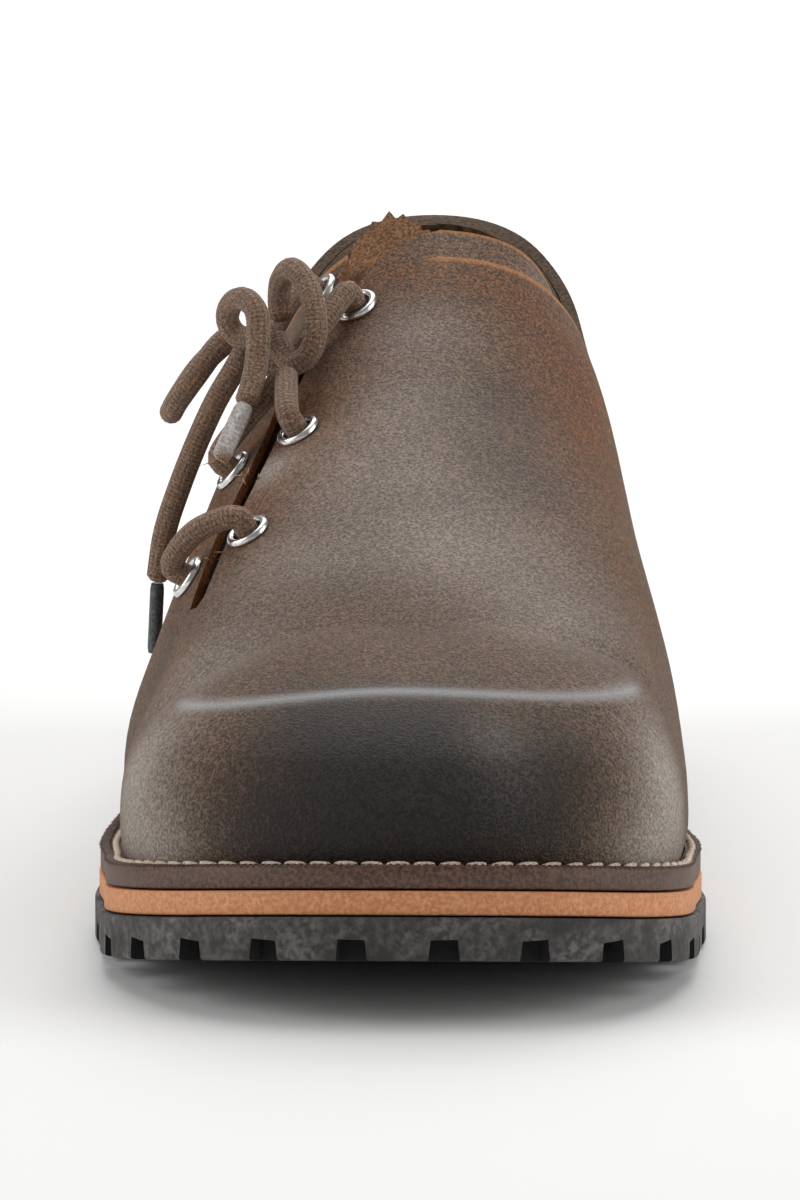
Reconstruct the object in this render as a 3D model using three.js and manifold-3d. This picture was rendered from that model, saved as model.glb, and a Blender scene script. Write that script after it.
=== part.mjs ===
// Haferl shoe for the right foot, laced on its outer side, on a welted sole with a lugged tread.
// Millimetres, +Z up. The toe points to -Y, the outer (lateral) side is -X, the sole stands on z = 0.
// Forms are worked out along the shoe from the toe tip and moved to the centre of the sole at the end.
import * as THREE from "three";
import { mergeVertices } from "three/addons/utils/BufferGeometryUtils.js";
import Module from "manifold-3d";

const wasm = await Module();
wasm.setup();

// Driving sizes
const soleLength = 305;
const ballWidth = 110.2;
const instepRise = 89.5; // spine at the throat, above the welt
const ankleRise = 47.5; // lowest place of the topline, above the welt
const heelRise = 74; // back of the collar, above the welt
const toeSpring = 12.9;
const heelLift = 13.4;
const weltThickness = 4.2;
const midsoleThickness = 4.4;
const outsoleThickness = 7.4;
const insoleThickness = 5;
const gap = 0.3; // left between pieces that meet
const leather = 2.2; // wall of the upper
const liningThickness = 1.5;
const tongueThickness = 1.4;
const bandReach = 9.6; // lining seen above the upper's cut edge at the throat
const bandDepth = 10; // lining below the cut edge
const slitWidth = 4.4;
const lugPitch = 16.5;
const lugGap = 4.8;
const lugHeight = 3.7;
const lugDepth = 13; // from the sole's edge inwards
const lugFlare = 1.2; // a gap between lugs is this much wider at the ground
const heelBreast = 0.725; // front of the heel, share of the length
const eyeletOuter = 8.6;
const eyeletBore = 5.2;
const eyeletInset = 5.6; // from a facing's edge to the middle of its eyelets
const laceDiameter = 4.4;
const paleAgletDiameter = 3.4;
const darkAgletDiameter = 2.6;
const pinkPitch = 3.2;
const pinkDepth = 1.3;

// Rise of the whole sole over its flat ball: share of the length, share of the spring or of the lift
const springRows = [
  { along: 0, spring: 1, lift: 0 },
  { along: 0.082, spring: 0.62, lift: 0 },
  { along: 0.164, spring: 0.31, lift: 0 },
  { along: 0.246, spring: 0.09, lift: 0 },
  { along: 0.328, spring: 0, lift: 0 },
  { along: 0.41, spring: 0, lift: 0.045 },
  { along: 0.508, spring: 0, lift: 0.255 },
  { along: 0.623, spring: 0, lift: 0.6 },
  { along: 0.738, spring: 0, lift: 0.85 },
  { along: 0.869, spring: 0, lift: 0.97 },
  { along: 1, spring: 0, lift: 1 },
];
const flatRelief = 0.4; // the tread is ground flat where it is lower than this

// Cross-sections. along: share of the length. centre and the widths: shares of half the ball width,
// for the sole's edge, the welt seam, the bulge, the side, the shoulder and the crown.
// Heights of the last four over the welt seam, and of the spine: shares of the instep rise.
const sections = [
  {
    along: 0.203,
    centre: 0.018,
    outer: [0.993, 0.907, 0.926, 0.886, 0.74, 0.381],
    inner: [0.955, 0.889, 0.904, 0.857, 0.759, 0.39],
    outerUp: [0.11, 0.23, 0.33, 0.445],
    innerUp: [0.11, 0.25, 0.37, 0.462],
    spine: 0.484,
  },
  {
    along: 0.295,
    centre: 0.009,
    outer: [1.022, 0.922, 0.931, 0.835, 0.679, 0.354],
    inner: [0.978, 0.902, 0.918, 0.846, 0.682, 0.359],
    outerUp: [0.112, 0.295, 0.46, 0.568],
    innerUp: [0.123, 0.322, 0.51, 0.586],
    spine: 0.603,
  },
  {
    along: 0.393,
    centre: 0.009,
    outer: [0.975, 0.871, 0.935, 0.849, 0.626, 0.327],
    inner: [0.877, 0.802, 0.871, 0.831, 0.646, 0.336],
    outerUp: [0.112, 0.335, 0.581, 0.693],
    innerUp: [0.123, 0.369, 0.603, 0.704],
    spine: 0.732,
  },
  {
    along: 0.492,
    centre: 0.027,
    outer: [0.862, 0.768, 0.871, 0.808, 0.594, 0.304],
    inner: [0.722, 0.646, 0.762, 0.753, 0.584, 0.309],
    outerUp: [0.106, 0.363, 0.654, 0.793],
    innerUp: [0.117, 0.385, 0.676, 0.804],
    spine: 0.844,
  },
  {
    along: 0.61,
    centre: 0.045,
    outer: [0.76, 0.677, 0.78, 0.717, 0.465, 0.229],
    inner: [0.653, 0.577, 0.672, 0.653, 0.49, 0.272],
    outerUp: [0.111, 0.423, 0.79, 0.958],
    innerUp: [0.111, 0.423, 0.803, 0.965],
    spine: 1,
  },
  {
    along: 0.705,
    centre: 0.045,
    outer: [0.722, 0.639, 0.699, 0.644, 0.482, 0.28],
    inner: [0.65, 0.577, 0.644, 0.599, 0.473, 0.28],
    outerUp: [0.121, 0.411, 0.78, 1.149],
    innerUp: [0.121, 0.411, 0.78, 1.149],
    spine: 1.238,
  },
  {
    along: 0.866,
    centre: 0.018,
    outer: [0.672, 0.599, 0.644, 0.59, 0.454, 0.272],
    inner: [0.668, 0.599, 0.644, 0.59, 0.454, 0.272],
    outerUp: [0.161, 0.429, 0.764, 1.178],
    innerUp: [0.161, 0.429, 0.764, 1.178],
    spine: 1.345,
  },
];

// The round ends turn about the first and the last section. reach: shares of the length, from the sole's
// edge to the crown. squareness: exponents of the plan's curve, for the outer and the inner side.
const toeEnd = {
  reach: [0.2033, 0.187, 0.1885, 0.174, 0.12, 0.059],
  up: [0.085, 0.188, 0.306, 0.352],
  outerSquare: [2.12, 2.15, 2.15, 2.2, 2.4, 2.2],
  innerSquare: [2.52, 2.5, 2.55, 2.6, 2.75, 2.3],
};
const heelEnd = {
  reach: [0.1344, 0.12, 0.126, 0.115, 0.1, 0.066],
  up: [0.179, 0.447, 0.782, 1.173],
  outerSquare: [2.15, 2.15, 2.15, 2.1, 2.05, 2],
  innerSquare: [2.15, 2.15, 2.15, 2.1, 2.05, 2],
};
const ridgeCrease = 0.75; // 0 is a round toe box, 1 a sharp edge along its top
const ridgeAside = 0.35; // share of that crease beside the toe box
const ridgeFade = 25; // length over which it fades out along the sides
const seamFlare = 0.35; // how far the upper leans outwards as it leaves the welt

// Topline seen from the side. along: share of the length. front, back: share of the way up from the
// ankle's lowest place to the throat or to the heel. band: share of bandReach that the lining shows.
const toplineRows = [
  { along: 0.59, front: 1.25, back: 0, band: 1 },
  { along: 0.597, front: 0.88, back: 0, band: 1 },
  { along: 0.608, front: 0.755, back: 0, band: 1 },
  { along: 0.627, front: 0.576, back: 0, band: 1 },
  { along: 0.656, front: 0.375, back: 0, band: 0.85 },
  { along: 0.69, front: 0.21, back: 0, band: 0.5 },
  { along: 0.725, front: 0.1, back: 0, band: 0.25 },
  { along: 0.765, front: 0.03, back: 0, band: 0.14 },
  { along: 0.81, front: 0, back: 0.05, band: 0.12 },
  { along: 0.86, front: 0, back: 0.25, band: 0.12 },
  { along: 0.91, front: 0, back: 0.58, band: 0.12 },
  { along: 0.945, front: 0, back: 0.83, band: 0.12 },
  { along: 0.966, front: 0, back: 0.93, band: 0.12 },
  { along: 1.01, front: 0, back: 0.98, band: 0.12 },
];
const bandRise = 0.35; // how much the lining's band rises for its reach
const quarterTop = 0.022; // the outer quarter's topline starts this share of the length further back

// Edge of the vamp along the lacing slit, seen from above: shares of half the ball width and of the length
const slitRows = [
  { across: -0.66, along: 0.318 },
  { across: -0.615, along: 0.352 },
  { across: -0.575, along: 0.382 },
  { across: -0.515, along: 0.42 },
  { across: -0.436, along: 0.474 },
  { across: -0.368, along: 0.525 },
  { across: -0.287, along: 0.561 },
];
const vampCorner = [
  { across: -0.18, along: 0.577 },
  { across: -0.06, along: 0.588 },
  { across: 0.06, along: 0.593 },
  { across: 0.16, along: 0.6 },
];
// Edge of the quarter past the end of the slit
const quarterCorner = [
  { across: -0.29, along: 0.59 },
  { across: -0.235, along: 0.612 },
  { across: -0.22, along: 0.64 },
  { across: 0.16, along: 0.64 },
];

// Middles of the three pairs of eyelets: share of the slit's length from its toe end, and share of the
// usual distance from the slit
const vampEyelets = [
  { share: 0.2, aside: 1 },
  { share: 0.6, aside: 1 },
  { share: 1.045, aside: 0.9 },
];
const quarterEyelets = [
  { share: 0.18, aside: 1 },
  { share: 0.58, aside: 1 },
  { share: 1.15, aside: 0.66 },
];

// Outline of the tongue seen from above, shares of half the ball width and of the length
const tongueSides = [
  { across: 0.16, along: 0.613 },
  { across: 0.22, along: 0.58 },
  { across: -0.05, along: 0.45 },
  { across: -0.42, along: 0.31 },
  { across: -0.6, along: 0.285 },
  { across: -0.7, along: 0.295 },
  { across: -0.62, along: 0.426 },
  { across: -0.49, along: 0.541 },
  { across: -0.4, along: 0.59 },
];
const tongueTop = [
  { across: -0.31, along: 0.622 },
  { across: -0.29, along: 0.641 },
  { across: -0.2, along: 0.651 },
  { across: -0.1, along: 0.652 },
  { across: -0.01, along: 0.642 },
  { across: 0.06, along: 0.63 },
];

const toeRibs = 7;
const sideRibs = 20;
const heelRibs = 7;
const rowsPerKnot = [2, 3, 3, 3, 3];

const halfBall = ballWidth / 2;
const soleStack = outsoleThickness + gap + midsoleThickness + gap + weltThickness;

// Curves through rows of numbers

function rowTangents(at, rows) {
  return rows.map((row, i) => {
    const a = Math.max(i - 1, 0);
    const b = Math.min(i + 1, rows.length - 1);
    if (a === i || b === i) {
      return row.map((_, k) => (rows[b][k] - rows[a][k]) / (at[b] - at[a]));
    }
    const before = at[i] - at[a];
    const after = at[b] - at[i];
    return row.map((value, k) => {
      const slopeBefore = (value - rows[a][k]) / before;
      const slopeAfter = (rows[b][k] - value) / after;
      return (slopeBefore * after + slopeAfter * before) / (before + after);
    });
  });
}

function hermite(p0, p1, m0, m1, span, u) {
  const u2 = u * u;
  const u3 = u2 * u;
  const rise = 3 * u2 - 2 * u3;
  return (1 - rise) * p0 + rise * p1 + span * ((u3 - 2 * u2 + u) * m0 + (u3 - u2) * m1);
}

function readRows(at, rows, tangents, x) {
  let i = 0;
  while (i < at.length - 2 && x >= at[i + 1]) {
    i += 1;
  }
  const span = at[i + 1] - at[i];
  const u = Math.min(Math.max((x - at[i]) / span, 0), 1);
  const [from, to] = [rows[i], rows[i + 1]];
  const [leaving, arriving] = [tangents[i], tangents[i + 1]];
  return from.map((_, k) => hermite(from[k], to[k], leaving[k], arriving[k], span, u));
}

// The welt seam's height, the datum of the whole upper

const springAt = springRows.map((row) => row.along * soleLength);
const springValues = springRows.map((row) => [row.spring * toeSpring + row.lift * heelLift]);
const springTangents = rowTangents(springAt, springValues);

function soleRise(d) {
  return readRows(springAt, springValues, springTangents, d)[0];
}

function seamHeight(d) {
  return soleStack + soleRise(d);
}

// Sections in millimetres, with the widths running straight into both ends

const sectionAt = sections.map((row) => row.along * soleLength);
const sectionValues = sections.map((row) => {
  const seam = seamHeight(row.along * soleLength);
  const ups = [...row.outerUp, ...row.innerUp, row.spine];
  return [
    row.centre * halfBall,
    ...row.outer.map((share) => share * halfBall),
    ...row.inner.map((share) => share * halfBall),
    ...ups.map((share) => seam + share * instepRise),
  ];
});
const sectionTangents = rowTangents(sectionAt, sectionValues);
const lastSection = sections.length - 1;
for (let k = 1; k <= 12; k += 1) {
  sectionTangents[0][k] = 0;
  sectionTangents[lastSection][k] = 0;
}
sectionTangents[lastSection][21] = 0;

function sectionOf(d) {
  const v = readRows(sectionAt, sectionValues, sectionTangents, d);
  return {
    centre: v[0],
    widths: { outer: v.slice(1, 7), inner: v.slice(7, 13) },
    heights: { outer: v.slice(13, 17), inner: v.slice(17, 21) },
    spine: v[21],
  };
}

function spineSlope(d) {
  const step = 0.5;
  const from = Math.max(d - step, sectionAt[0]);
  const to = Math.min(d + step, sectionAt[lastSection]);
  return (sectionOf(to).spine - sectionOf(from).spine) / (to - from);
}

// Ribs: half sections that stand round the shoe, in order from the toe by the outer side to the heel
// and back by the inner side. Each has an axis point, a direction seen from above, radii and heights.

function endRib(side, turn, end, axis, towards) {
  const across = Math.sin(turn);
  const along = Math.cos(turn);
  const { centre, widths, heights, spine } = sectionOf(axis);
  const square = side === "outer" ? end.outerSquare : end.innerSquare;
  const radii = widths[side].map((width, k) => {
    const power = square[k];
    const reach = end.reach[k] * soleLength;
    return ((across / width) ** power + (along / reach) ** power) ** (-1 / power);
  });
  const endSeam = seamHeight(axis + towards * end.reach[1] * soleLength);
  const blend = along * along;
  const ups = heights[side].map((z, k) => z * (1 - blend) + (endSeam + end.up[k] * instepRise) * blend);
  return {
    centre,
    axis,
    dx: side === "outer" ? -across : across,
    dd: towards * along,
    radii,
    heights: [seamHeight(axis + towards * along * radii[1]), ...ups],
    spine,
    spineTilt: spineSlope(axis) * towards * along,
    crease: towards < 0 ? ridgeCrease * (ridgeAside + (1 - ridgeAside) * blend) : 0,
  };
}

function sideRib(side, d) {
  const { centre, widths, heights, spine } = sectionOf(d);
  const fade = Math.max(0, 1 - (d - sectionAt[0]) / ridgeFade);
  return {
    centre,
    axis: d,
    dx: side === "outer" ? -1 : 1,
    dd: 0,
    radii: widths[side],
    heights: [seamHeight(d), ...heights[side]],
    spine,
    spineTilt: 0,
    crease: ridgeCrease * ridgeAside * fade,
  };
}

function halfRibs(side) {
  const ribs = [];
  const toe = sectionAt[0];
  const heel = sectionAt[lastSection];
  for (let i = 0; i < toeRibs; i += 1) {
    ribs.push(endRib(side, ((Math.PI / 2) * i) / toeRibs, toeEnd, toe, -1));
  }
  for (let i = 0; i <= sideRibs; i += 1) {
    ribs.push(sideRib(side, toe + ((heel - toe) * i) / sideRibs));
  }
  for (let i = heelRibs - 1; i >= 0; i -= 1) {
    ribs.push(endRib(side, ((Math.PI / 2) * i) / heelRibs, heelEnd, heel, 1));
  }
  return ribs;
}

const outerRibs = halfRibs("outer");
const innerRibs = halfRibs("inner");
const ribs = [...outerRibs, ...innerRibs.slice(1, -1).reverse()];

// Points up a rib, from the welt seam to the spine

function ribProfile(rib) {
  const knots = rib.heights.map((z, k) => [rib.radii[k + 1], z]);
  knots.push([0, rib.spine]);
  const lengths = knots.slice(1).map((knot, k) => Math.hypot(knot[0] - knots[k][0], knot[1] - knots[k][1]));
  const at = [0];
  lengths.forEach((length) => at.push(at[at.length - 1] + length));
  const tangents = rowTangents(at, knots);
  const last = knots.length - 1;
  tangents[0] = [seamFlare, 1];
  tangents[last] = [-1, -rib.spineTilt];
  tangents[3] = tangents[3].map((value) => value * (1 - rib.crease));
  const points = [];
  for (let k = 0; k < last; k += 1) {
    const span = at[k + 1] - at[k];
    const [from, to] = [knots[k], knots[k + 1]];
    const [leaving, arriving] = [tangents[k], tangents[k + 1]];
    for (let j = 0; j < rowsPerKnot[k]; j += 1) {
      const u = j / rowsPerKnot[k];
      points.push([0, 1].map((i) => hermite(from[i], to[i], leaving[i], arriving[i], span, u)));
    }
  }
  points.push(knots[last]);
  return points;
}

function ribPoint(rib, radius, z) {
  return new THREE.Vector3(rib.centre + rib.dx * radius, rib.axis + rib.dd * radius, z);
}

const skin = ribs.map((rib) => ribProfile(rib).map(([radius, z]) => ribPoint(rib, radius, z)));
const rowCount = skin[0].length;

// Outward normals of the skin, one for each of its points

function skinNormal(i, k) {
  if (k === rowCount - 1) {
    return new THREE.Vector3(0, -spineSlope(ribs[i].axis), 1).normalize();
  }
  const before = skin[(i + ribs.length - 1) % ribs.length][k];
  const after = skin[(i + 1) % ribs.length][k];
  const below = skin[i][Math.max(k - 1, 0)];
  const above = skin[i][k + 1];
  const round = after.clone().sub(before);
  const up = above.clone().sub(below);
  return up.cross(round).normalize();
}

const normals = skin.map((rib, i) => rib.map((_, k) => skinNormal(i, k)));

// Solids

function solidOf(positions, triangles) {
  const geometry = new THREE.BufferGeometry();
  const numbers = positions.flatMap((p) => [p.x, p.y, p.z]);
  geometry.setAttribute("position", new THREE.Float32BufferAttribute(numbers, 3));
  geometry.setIndex(triangles.flat());
  return manifoldOf(geometry);
}

function manifoldOf(source) {
  const bare = source.clone();
  bare.deleteAttribute("normal");
  bare.deleteAttribute("uv");
  const geometry = mergeVertices(bare, 1e-4);
  const points = geometry.attributes.position.array;
  const index = geometry.index.array;
  const kept = [];
  let volume = 0;
  for (let i = 0; i < index.length; i += 3) {
    const [a, b, c] = [index[i], index[i + 1], index[i + 2]];
    if (a !== b && b !== c && c !== a) {
      kept.push([a, b, c]);
      const [p, q, r] = [a, b, c].map((k) => new THREE.Vector3().fromArray(points, k * 3));
      volume += p.dot(q.cross(r));
    }
  }
  const outward = kept.flatMap(([a, b, c]) => (volume > 0 ? [a, b, c] : [a, c, b]));
  const mesh = new wasm.Mesh({
    numProp: 3,
    vertProperties: new Float32Array(points),
    triVerts: new Uint32Array(outward),
  });
  return new wasm.Manifold(mesh);
}

function geometryOf(manifold) {
  const mesh = manifold.getMesh();
  const geometry = new THREE.BufferGeometry();
  geometry.setAttribute("position", new THREE.Float32BufferAttribute(mesh.vertProperties, 3));
  geometry.setIndex(new THREE.Uint32BufferAttribute(mesh.triVerts, 1));
  geometry.computeVertexNormals();
  return geometry;
}

// Strips between two lists of points, and a cap that closes a ring of ribs

function ringWall(lower, upper, count) {
  const triangles = [];
  for (let i = 0; i < count; i += 1) {
    const j = (i + 1) % count;
    triangles.push([lower + i, lower + j, upper + j], [lower + i, upper + j, upper + i]);
  }
  return triangles;
}

// A cap between the outer and the inner half of one ring: both halves count the same from toe to heel
function ringCap(start, turned) {
  const count = ribs.length;
  const half = outerRibs.length - 1;
  const triangles = [];
  for (let i = 0; i < half; i += 1) {
    const a = start + i;
    const b = start + i + 1;
    const c = start + ((count - i - 1) % count);
    const d = start + ((count - i) % count);
    triangles.push([a, b, c], [a, c, d]);
  }
  return turned ? triangles.map(([a, b, c]) => [a, c, b]) : triangles;
}

// Everything inside the skin moved inwards by inset, down to drop under the welt seam
function dome(inset, drop) {
  const positions = [];
  skin.forEach((rib, i) => {
    const foot = rib[0].clone().addScaledVector(normals[i][0].clone().setZ(0).normalize(), -inset);
    positions.push(foot.setZ(foot.z - drop));
  });
  for (let k = 0; k < rowCount; k += 1) {
    skin.forEach((rib, i) => {
      const flat = k === 0 ? normals[i][0].clone().setZ(0).normalize() : normals[i][k];
      positions.push(rib[k].clone().addScaledVector(flat, -inset));
    });
  }
  const triangles = ringCap(0, true);
  for (let k = 0; k < rowCount; k += 1) {
    triangles.push(...ringWall(k * ribs.length, (k + 1) * ribs.length, ribs.length));
  }
  return solidOf(positions, triangles);
}

function shell(outerInset, innerInset) {
  return dome(outerInset, weltThickness).subtract(dome(innerInset, weltThickness + 2));
}

// A slab of the sole: its plan is the knot ring (0 sole edge, 1 welt seam) grown by margin
function slab(knot, margin, topOf, bottomOf) {
  const top = [];
  const bottom = [];
  ribs.forEach((rib) => {
    const radius = rib.radii[knot] + margin;
    const point = ribPoint(rib, radius, 0);
    top.push(point.clone().setZ(topOf(point.y)));
    bottom.push(point.clone().setZ(bottomOf(point.y)));
  });
  const count = ribs.length;
  const triangles = [...ringCap(0, true), ...ringWall(0, count, count), ...ringCap(count, false)];
  return solidOf([...bottom, ...top], triangles);
}

// Prisms: a plan outline stood upright, and a side outline pushed through from side to side

function planPrism(points, low, high) {
  const shape = new THREE.Shape(points.map(([x, d]) => new THREE.Vector2(x, d)));
  const geometry = new THREE.ExtrudeGeometry(shape, { depth: high - low, bevelEnabled: false });
  return manifoldOf(geometry.translate(0, 0, low));
}

function sidePrism(points, left, right) {
  const shape = new THREE.Shape(points.map(([d, z]) => new THREE.Vector2(d, z)));
  const geometry = new THREE.ExtrudeGeometry(shape, { depth: right - left, bevelEnabled: false });
  const turned = new THREE.Matrix4().set(0, 0, 1, left, 1, 0, 0, 0, 0, 1, 0, 0, 0, 0, 0, 1);
  return manifoldOf(geometry.applyMatrix4(turned));
}

// Topline cutters

const farAbove = seamHeight(soleLength) + 2 * instepRise;
const wide = ballWidth;

function toplinePoint(row, back, reach) {
  const d = (row.along + back * (row.front > 0 ? 1 : 0)) * soleLength;
  const up = ankleRise + row.front * (instepRise - ankleRise) + row.back * (heelRise - ankleRise);
  const bandUp = reach * row.band * bandRise;
  return [d + reach * row.band * (row.front > 0 ? 1 : 0), seamHeight(d) + up + bandUp];
}

function aboveTopline(back, reach, left, right) {
  const line = toplineRows.map((row) => toplinePoint(row, back, reach));
  const end = line[line.length - 1];
  return sidePrism([...line, [end[0], farAbove], [line[0][0], farAbove]], left, right);
}

// Two side cutters, one for each side of the throat's middle
function aboveOpening(reach) {
  const split = sections[4].centre * halfBall;
  const overlap = 1;
  const outerReach = Math.max(reach - quarterTop * soleLength, 0);
  const outer = aboveTopline(quarterTop, outerReach, -wide, split - overlap);
  return outer.add(aboveTopline(0, reach, split - 2 * overlap, wide));
}

// Points and directions on the skin under a place in plan

function skinUnder(x, d) {
  const place = new THREE.Vector2(x, d);
  let best = null;
  skin.forEach((rib, i) => {
    const next = skin[(i + 1) % ribs.length];
    for (let k = 0; k < rowCount - 1; k += 1) {
      [
        [rib[k], next[k], next[k + 1]],
        [rib[k], next[k + 1], rib[k + 1]],
      ].forEach(([a, b, c]) => {
        const triangle = new THREE.Triangle(a.clone().setZ(0), b.clone().setZ(0), c.clone().setZ(0));
        if (triangle.getArea() < 1e-6) {
          return;
        }
        const share = triangle.getBarycoord(new THREE.Vector3(place.x, place.y, 0), new THREE.Vector3());
        if (Math.min(share.x, share.y, share.z) < -1e-6) {
          return;
        }
        const z = share.x * a.z + share.y * b.z + share.z * c.z;
        if (!best || z > best.point.z) {
          const normal = new THREE.Triangle(a, c, b).getNormal(new THREE.Vector3());
          best = { point: new THREE.Vector3(x, d, z), normal };
        }
      });
    }
  });
  return best;
}

// A place reached by walking over the skin square to a direction: to the outer side if distance is positive
function walkOver(x, d, direction, distance) {
  const steps = 6;
  let at = { x, d };
  for (let i = 0; i < steps; i += 1) {
    const { point, normal } = skinUnder(at.x, at.d);
    const ahead = direction.clone().projectOnPlane(normal).normalize();
    const aside = normal.clone().cross(ahead).normalize();
    at = { x: point.x + (aside.x * distance) / steps, d: point.y + (aside.y * distance) / steps };
  }
  return at;
}

// Slit

const inPlan = (row) => new THREE.Vector2(row.across * halfBall, row.along * soleLength);
const vampEdge = slitRows.map(inPlan);
const slitLine = new THREE.Path(vampEdge);
const slitHeading = vampEdge[vampEdge.length - 1].clone().sub(vampEdge[0]);
const slitDirection = new THREE.Vector3(slitHeading.x, slitHeading.y, instepRise * 0.4).normalize();

function asideOfSlit(place, distance) {
  const { x, d } = walkOver(place.x, place.y, slitDirection, distance);
  return new THREE.Vector2(x, d);
}

// A place along the slit's edge on the vamp. Past the end, it goes on in the slit's direction.
function slitPlace(share) {
  const inside = slitLine.getPointAt(Math.min(share, 1));
  const beyond = Math.max(share - 1, 0);
  return inside.addScaledVector(slitHeading, beyond);
}

// The opening between vamp and quarter, with its edges moved apart by the two shifts. The vamp's top is
// left standing for a length behind its own edge.
function slitPrism(vampShift, quarterShift, left) {
  const vampSide = vampEdge.map((place) => asideOfSlit(place, -vampShift));
  const quarterSide = vampEdge.map((place) => asideOfSlit(place, slitWidth + quarterShift));
  const cut = (row, aside, behind) => inPlan(row).add(new THREE.Vector2(aside, behind));
  const vampTop = vampCorner.map((row) => cut(row, vampShift, left));
  const quarterTopEdge = quarterCorner.map((row) => cut(row, row.across < 0 ? -quarterShift : vampShift, 0));
  const tip = vampEdge[0].clone().lerp(quarterSide[0], 0.5);
  tip.y -= slitWidth / 2 + (vampShift + quarterShift) / 2;
  const outline = [tip, ...vampSide, ...vampTop, ...quarterTopEdge.reverse(), ...quarterSide.reverse()];
  return planPrism(outline, soleStack + instepRise * 0.3, farAbove);
}

// Eyelets

const eyelets = [];

function addEyelets(side, rows, distance) {
  rows.forEach(({ share, aside }, i) => {
    const place = asideOfSlit(slitPlace(share), distance * aside);
    eyelets.push({ name: `eyelet_${side}_${i + 1}`, ...skinUnder(place.x, place.y) });
  });
}
addEyelets("vamp", vampEyelets, -eyeletInset);
addEyelets("quarter", quarterEyelets, slitWidth + eyeletInset);

function turnedTo(geometry, { point, normal }) {
  const turn = new THREE.Quaternion().setFromUnitVectors(new THREE.Vector3(0, 1, 0), normal);
  return geometry.applyQuaternion(turn).translate(point.x, point.y, point.z);
}

const eyeletSides = 12;
const barrelWall = 0.5;
const barrel = eyeletBore / 2 + barrelWall;
const flangeLift = 0.45; // clear of the curved leather
const flangeRise = 0.9;

function eyeletSolid(place) {
  const bore = eyeletBore / 2;
  const rim = eyeletOuter / 2;
  const foot = gap - leather;
  const profile = [
    [bore, foot],
    [barrel, foot],
    [barrel, flangeLift],
    [rim, flangeLift],
    [rim - flangeRise, flangeLift + flangeRise],
    [bore, flangeLift + flangeRise / 2],
    [bore, foot],
  ];
  const ring = new THREE.LatheGeometry(profile.map(([r, y]) => new THREE.Vector2(r, y)), eyeletSides);
  return manifoldOf(turnedTo(ring, place));
}

function eyeletHole(place) {
  const clear = (barrel + gap) / Math.cos(Math.PI / eyeletSides);
  const pin = new THREE.CylinderGeometry(clear, clear, 4 * leather, eyeletSides);
  return manifoldOf(turnedTo(pin, place));
}

// Upper, with the slit, the opening and a hole for each eyelet

function makeUpper() {
  const cut = shell(0, leather).subtract(aboveOpening(0)).subtract(slitPrism(0, 0, 0));
  return eyelets.reduce((solid, place) => solid.subtract(eyeletHole(place)), cut);
}

// Collar lining: a band under the topline that stands out past it, left open along the slit
function makeLining() {
  const inset = leather + gap;
  const whole = shell(inset, inset + liningThickness);
  const line = toplineRows.map((row) => toplinePoint(row, 0, 0));
  const below = line.map(([d, z]) => [d - bandDepth / 2, z - bandDepth]);
  const behind = 1.1 * soleLength;
  const lowest = below[below.length - 1][1];
  const kept = [...below, [behind, lowest], [behind, farAbove], [below[0][0], farAbove]];
  const keep = sidePrism(kept, -wide, wide);
  const openings = slitPrism(gap, eyeletInset + eyeletOuter / 2 + 1, bandReach);
  return whole.intersect(keep).subtract(aboveOpening(bandReach)).subtract(openings);
}

// Teeth along a line of plan places
function pinked(places) {
  const path = new THREE.Path(places);
  const count = Math.round(path.getLength() / pinkPitch);
  const teeth = [];
  for (let i = 0; i <= 2 * count; i += 1) {
    const place = path.getPointAt(i / (2 * count));
    place.y += i % 2 === 0 ? -pinkDepth : 0;
    teeth.push(place);
  }
  return teeth;
}

function makeTongue() {
  const inset = leather + liningThickness + 2 * gap;
  const outline = [...tongueSides.map(inPlan), ...pinked(tongueTop.map(inPlan))];
  const column = planPrism(outline, soleStack + instepRise * 0.3, farAbove);
  return shell(inset, inset + tongueThickness).intersect(column);
}

// Sole layers, each a slab under the welt seam

const weltTop = (d) => seamHeight(d);
const weltBottom = (d) => seamHeight(d) - weltThickness;
const midsoleTop = (d) => weltBottom(d) - gap;
const midsoleBottom = (d) => midsoleTop(d) - midsoleThickness;
const outsoleTop = (d) => midsoleBottom(d) - gap;
const treadBottom = (d) => Math.max(0, soleRise(d) - flatRelief);

const weltInset = 1; // from the sole's edge
const midsoleInset = 0.8;

function makeWelt() {
  const whole = slab(0, -weltInset, weltTop, weltBottom);
  return whole.subtract(slab(1, gap, (d) => weltTop(d) + 1, (d) => weltBottom(d) - 1));
}

function makeInsole() {
  return slab(1, -leather - gap, (d) => weltBottom(d) + insoleThickness, weltBottom);
}

// Everything before or behind the heel's front
function ahead(from, to) {
  const low = -10;
  const high = soleStack + heelLift + toeSpring;
  return sidePrism([[from, low], [to, low], [to, high], [from, high]], -wide, wide);
}

// Tapered notches round the edge of the tread between two places along the shoe
function edgeNotches(from, to, bottomOf) {
  const edge = ribs.map((rib) => ribPoint(rib, rib.radii[0], 0));
  const path = new THREE.Path([...edge, edge[0]].map((point) => new THREE.Vector2(point.x, point.y)));
  const count = Math.round(path.getLength() / lugPitch);
  const notches = [];
  for (let i = 0; i < count; i += 1) {
    const place = path.getPointAt((i + 0.5) / count);
    if (place.y < from || place.y > to) {
      continue;
    }
    const along = path.getTangentAt((i + 0.5) / count);
    notches.push(notch(place, Math.atan2(along.y, along.x), bottomOf(place.y)));
  }
  return notches;
}

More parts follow.
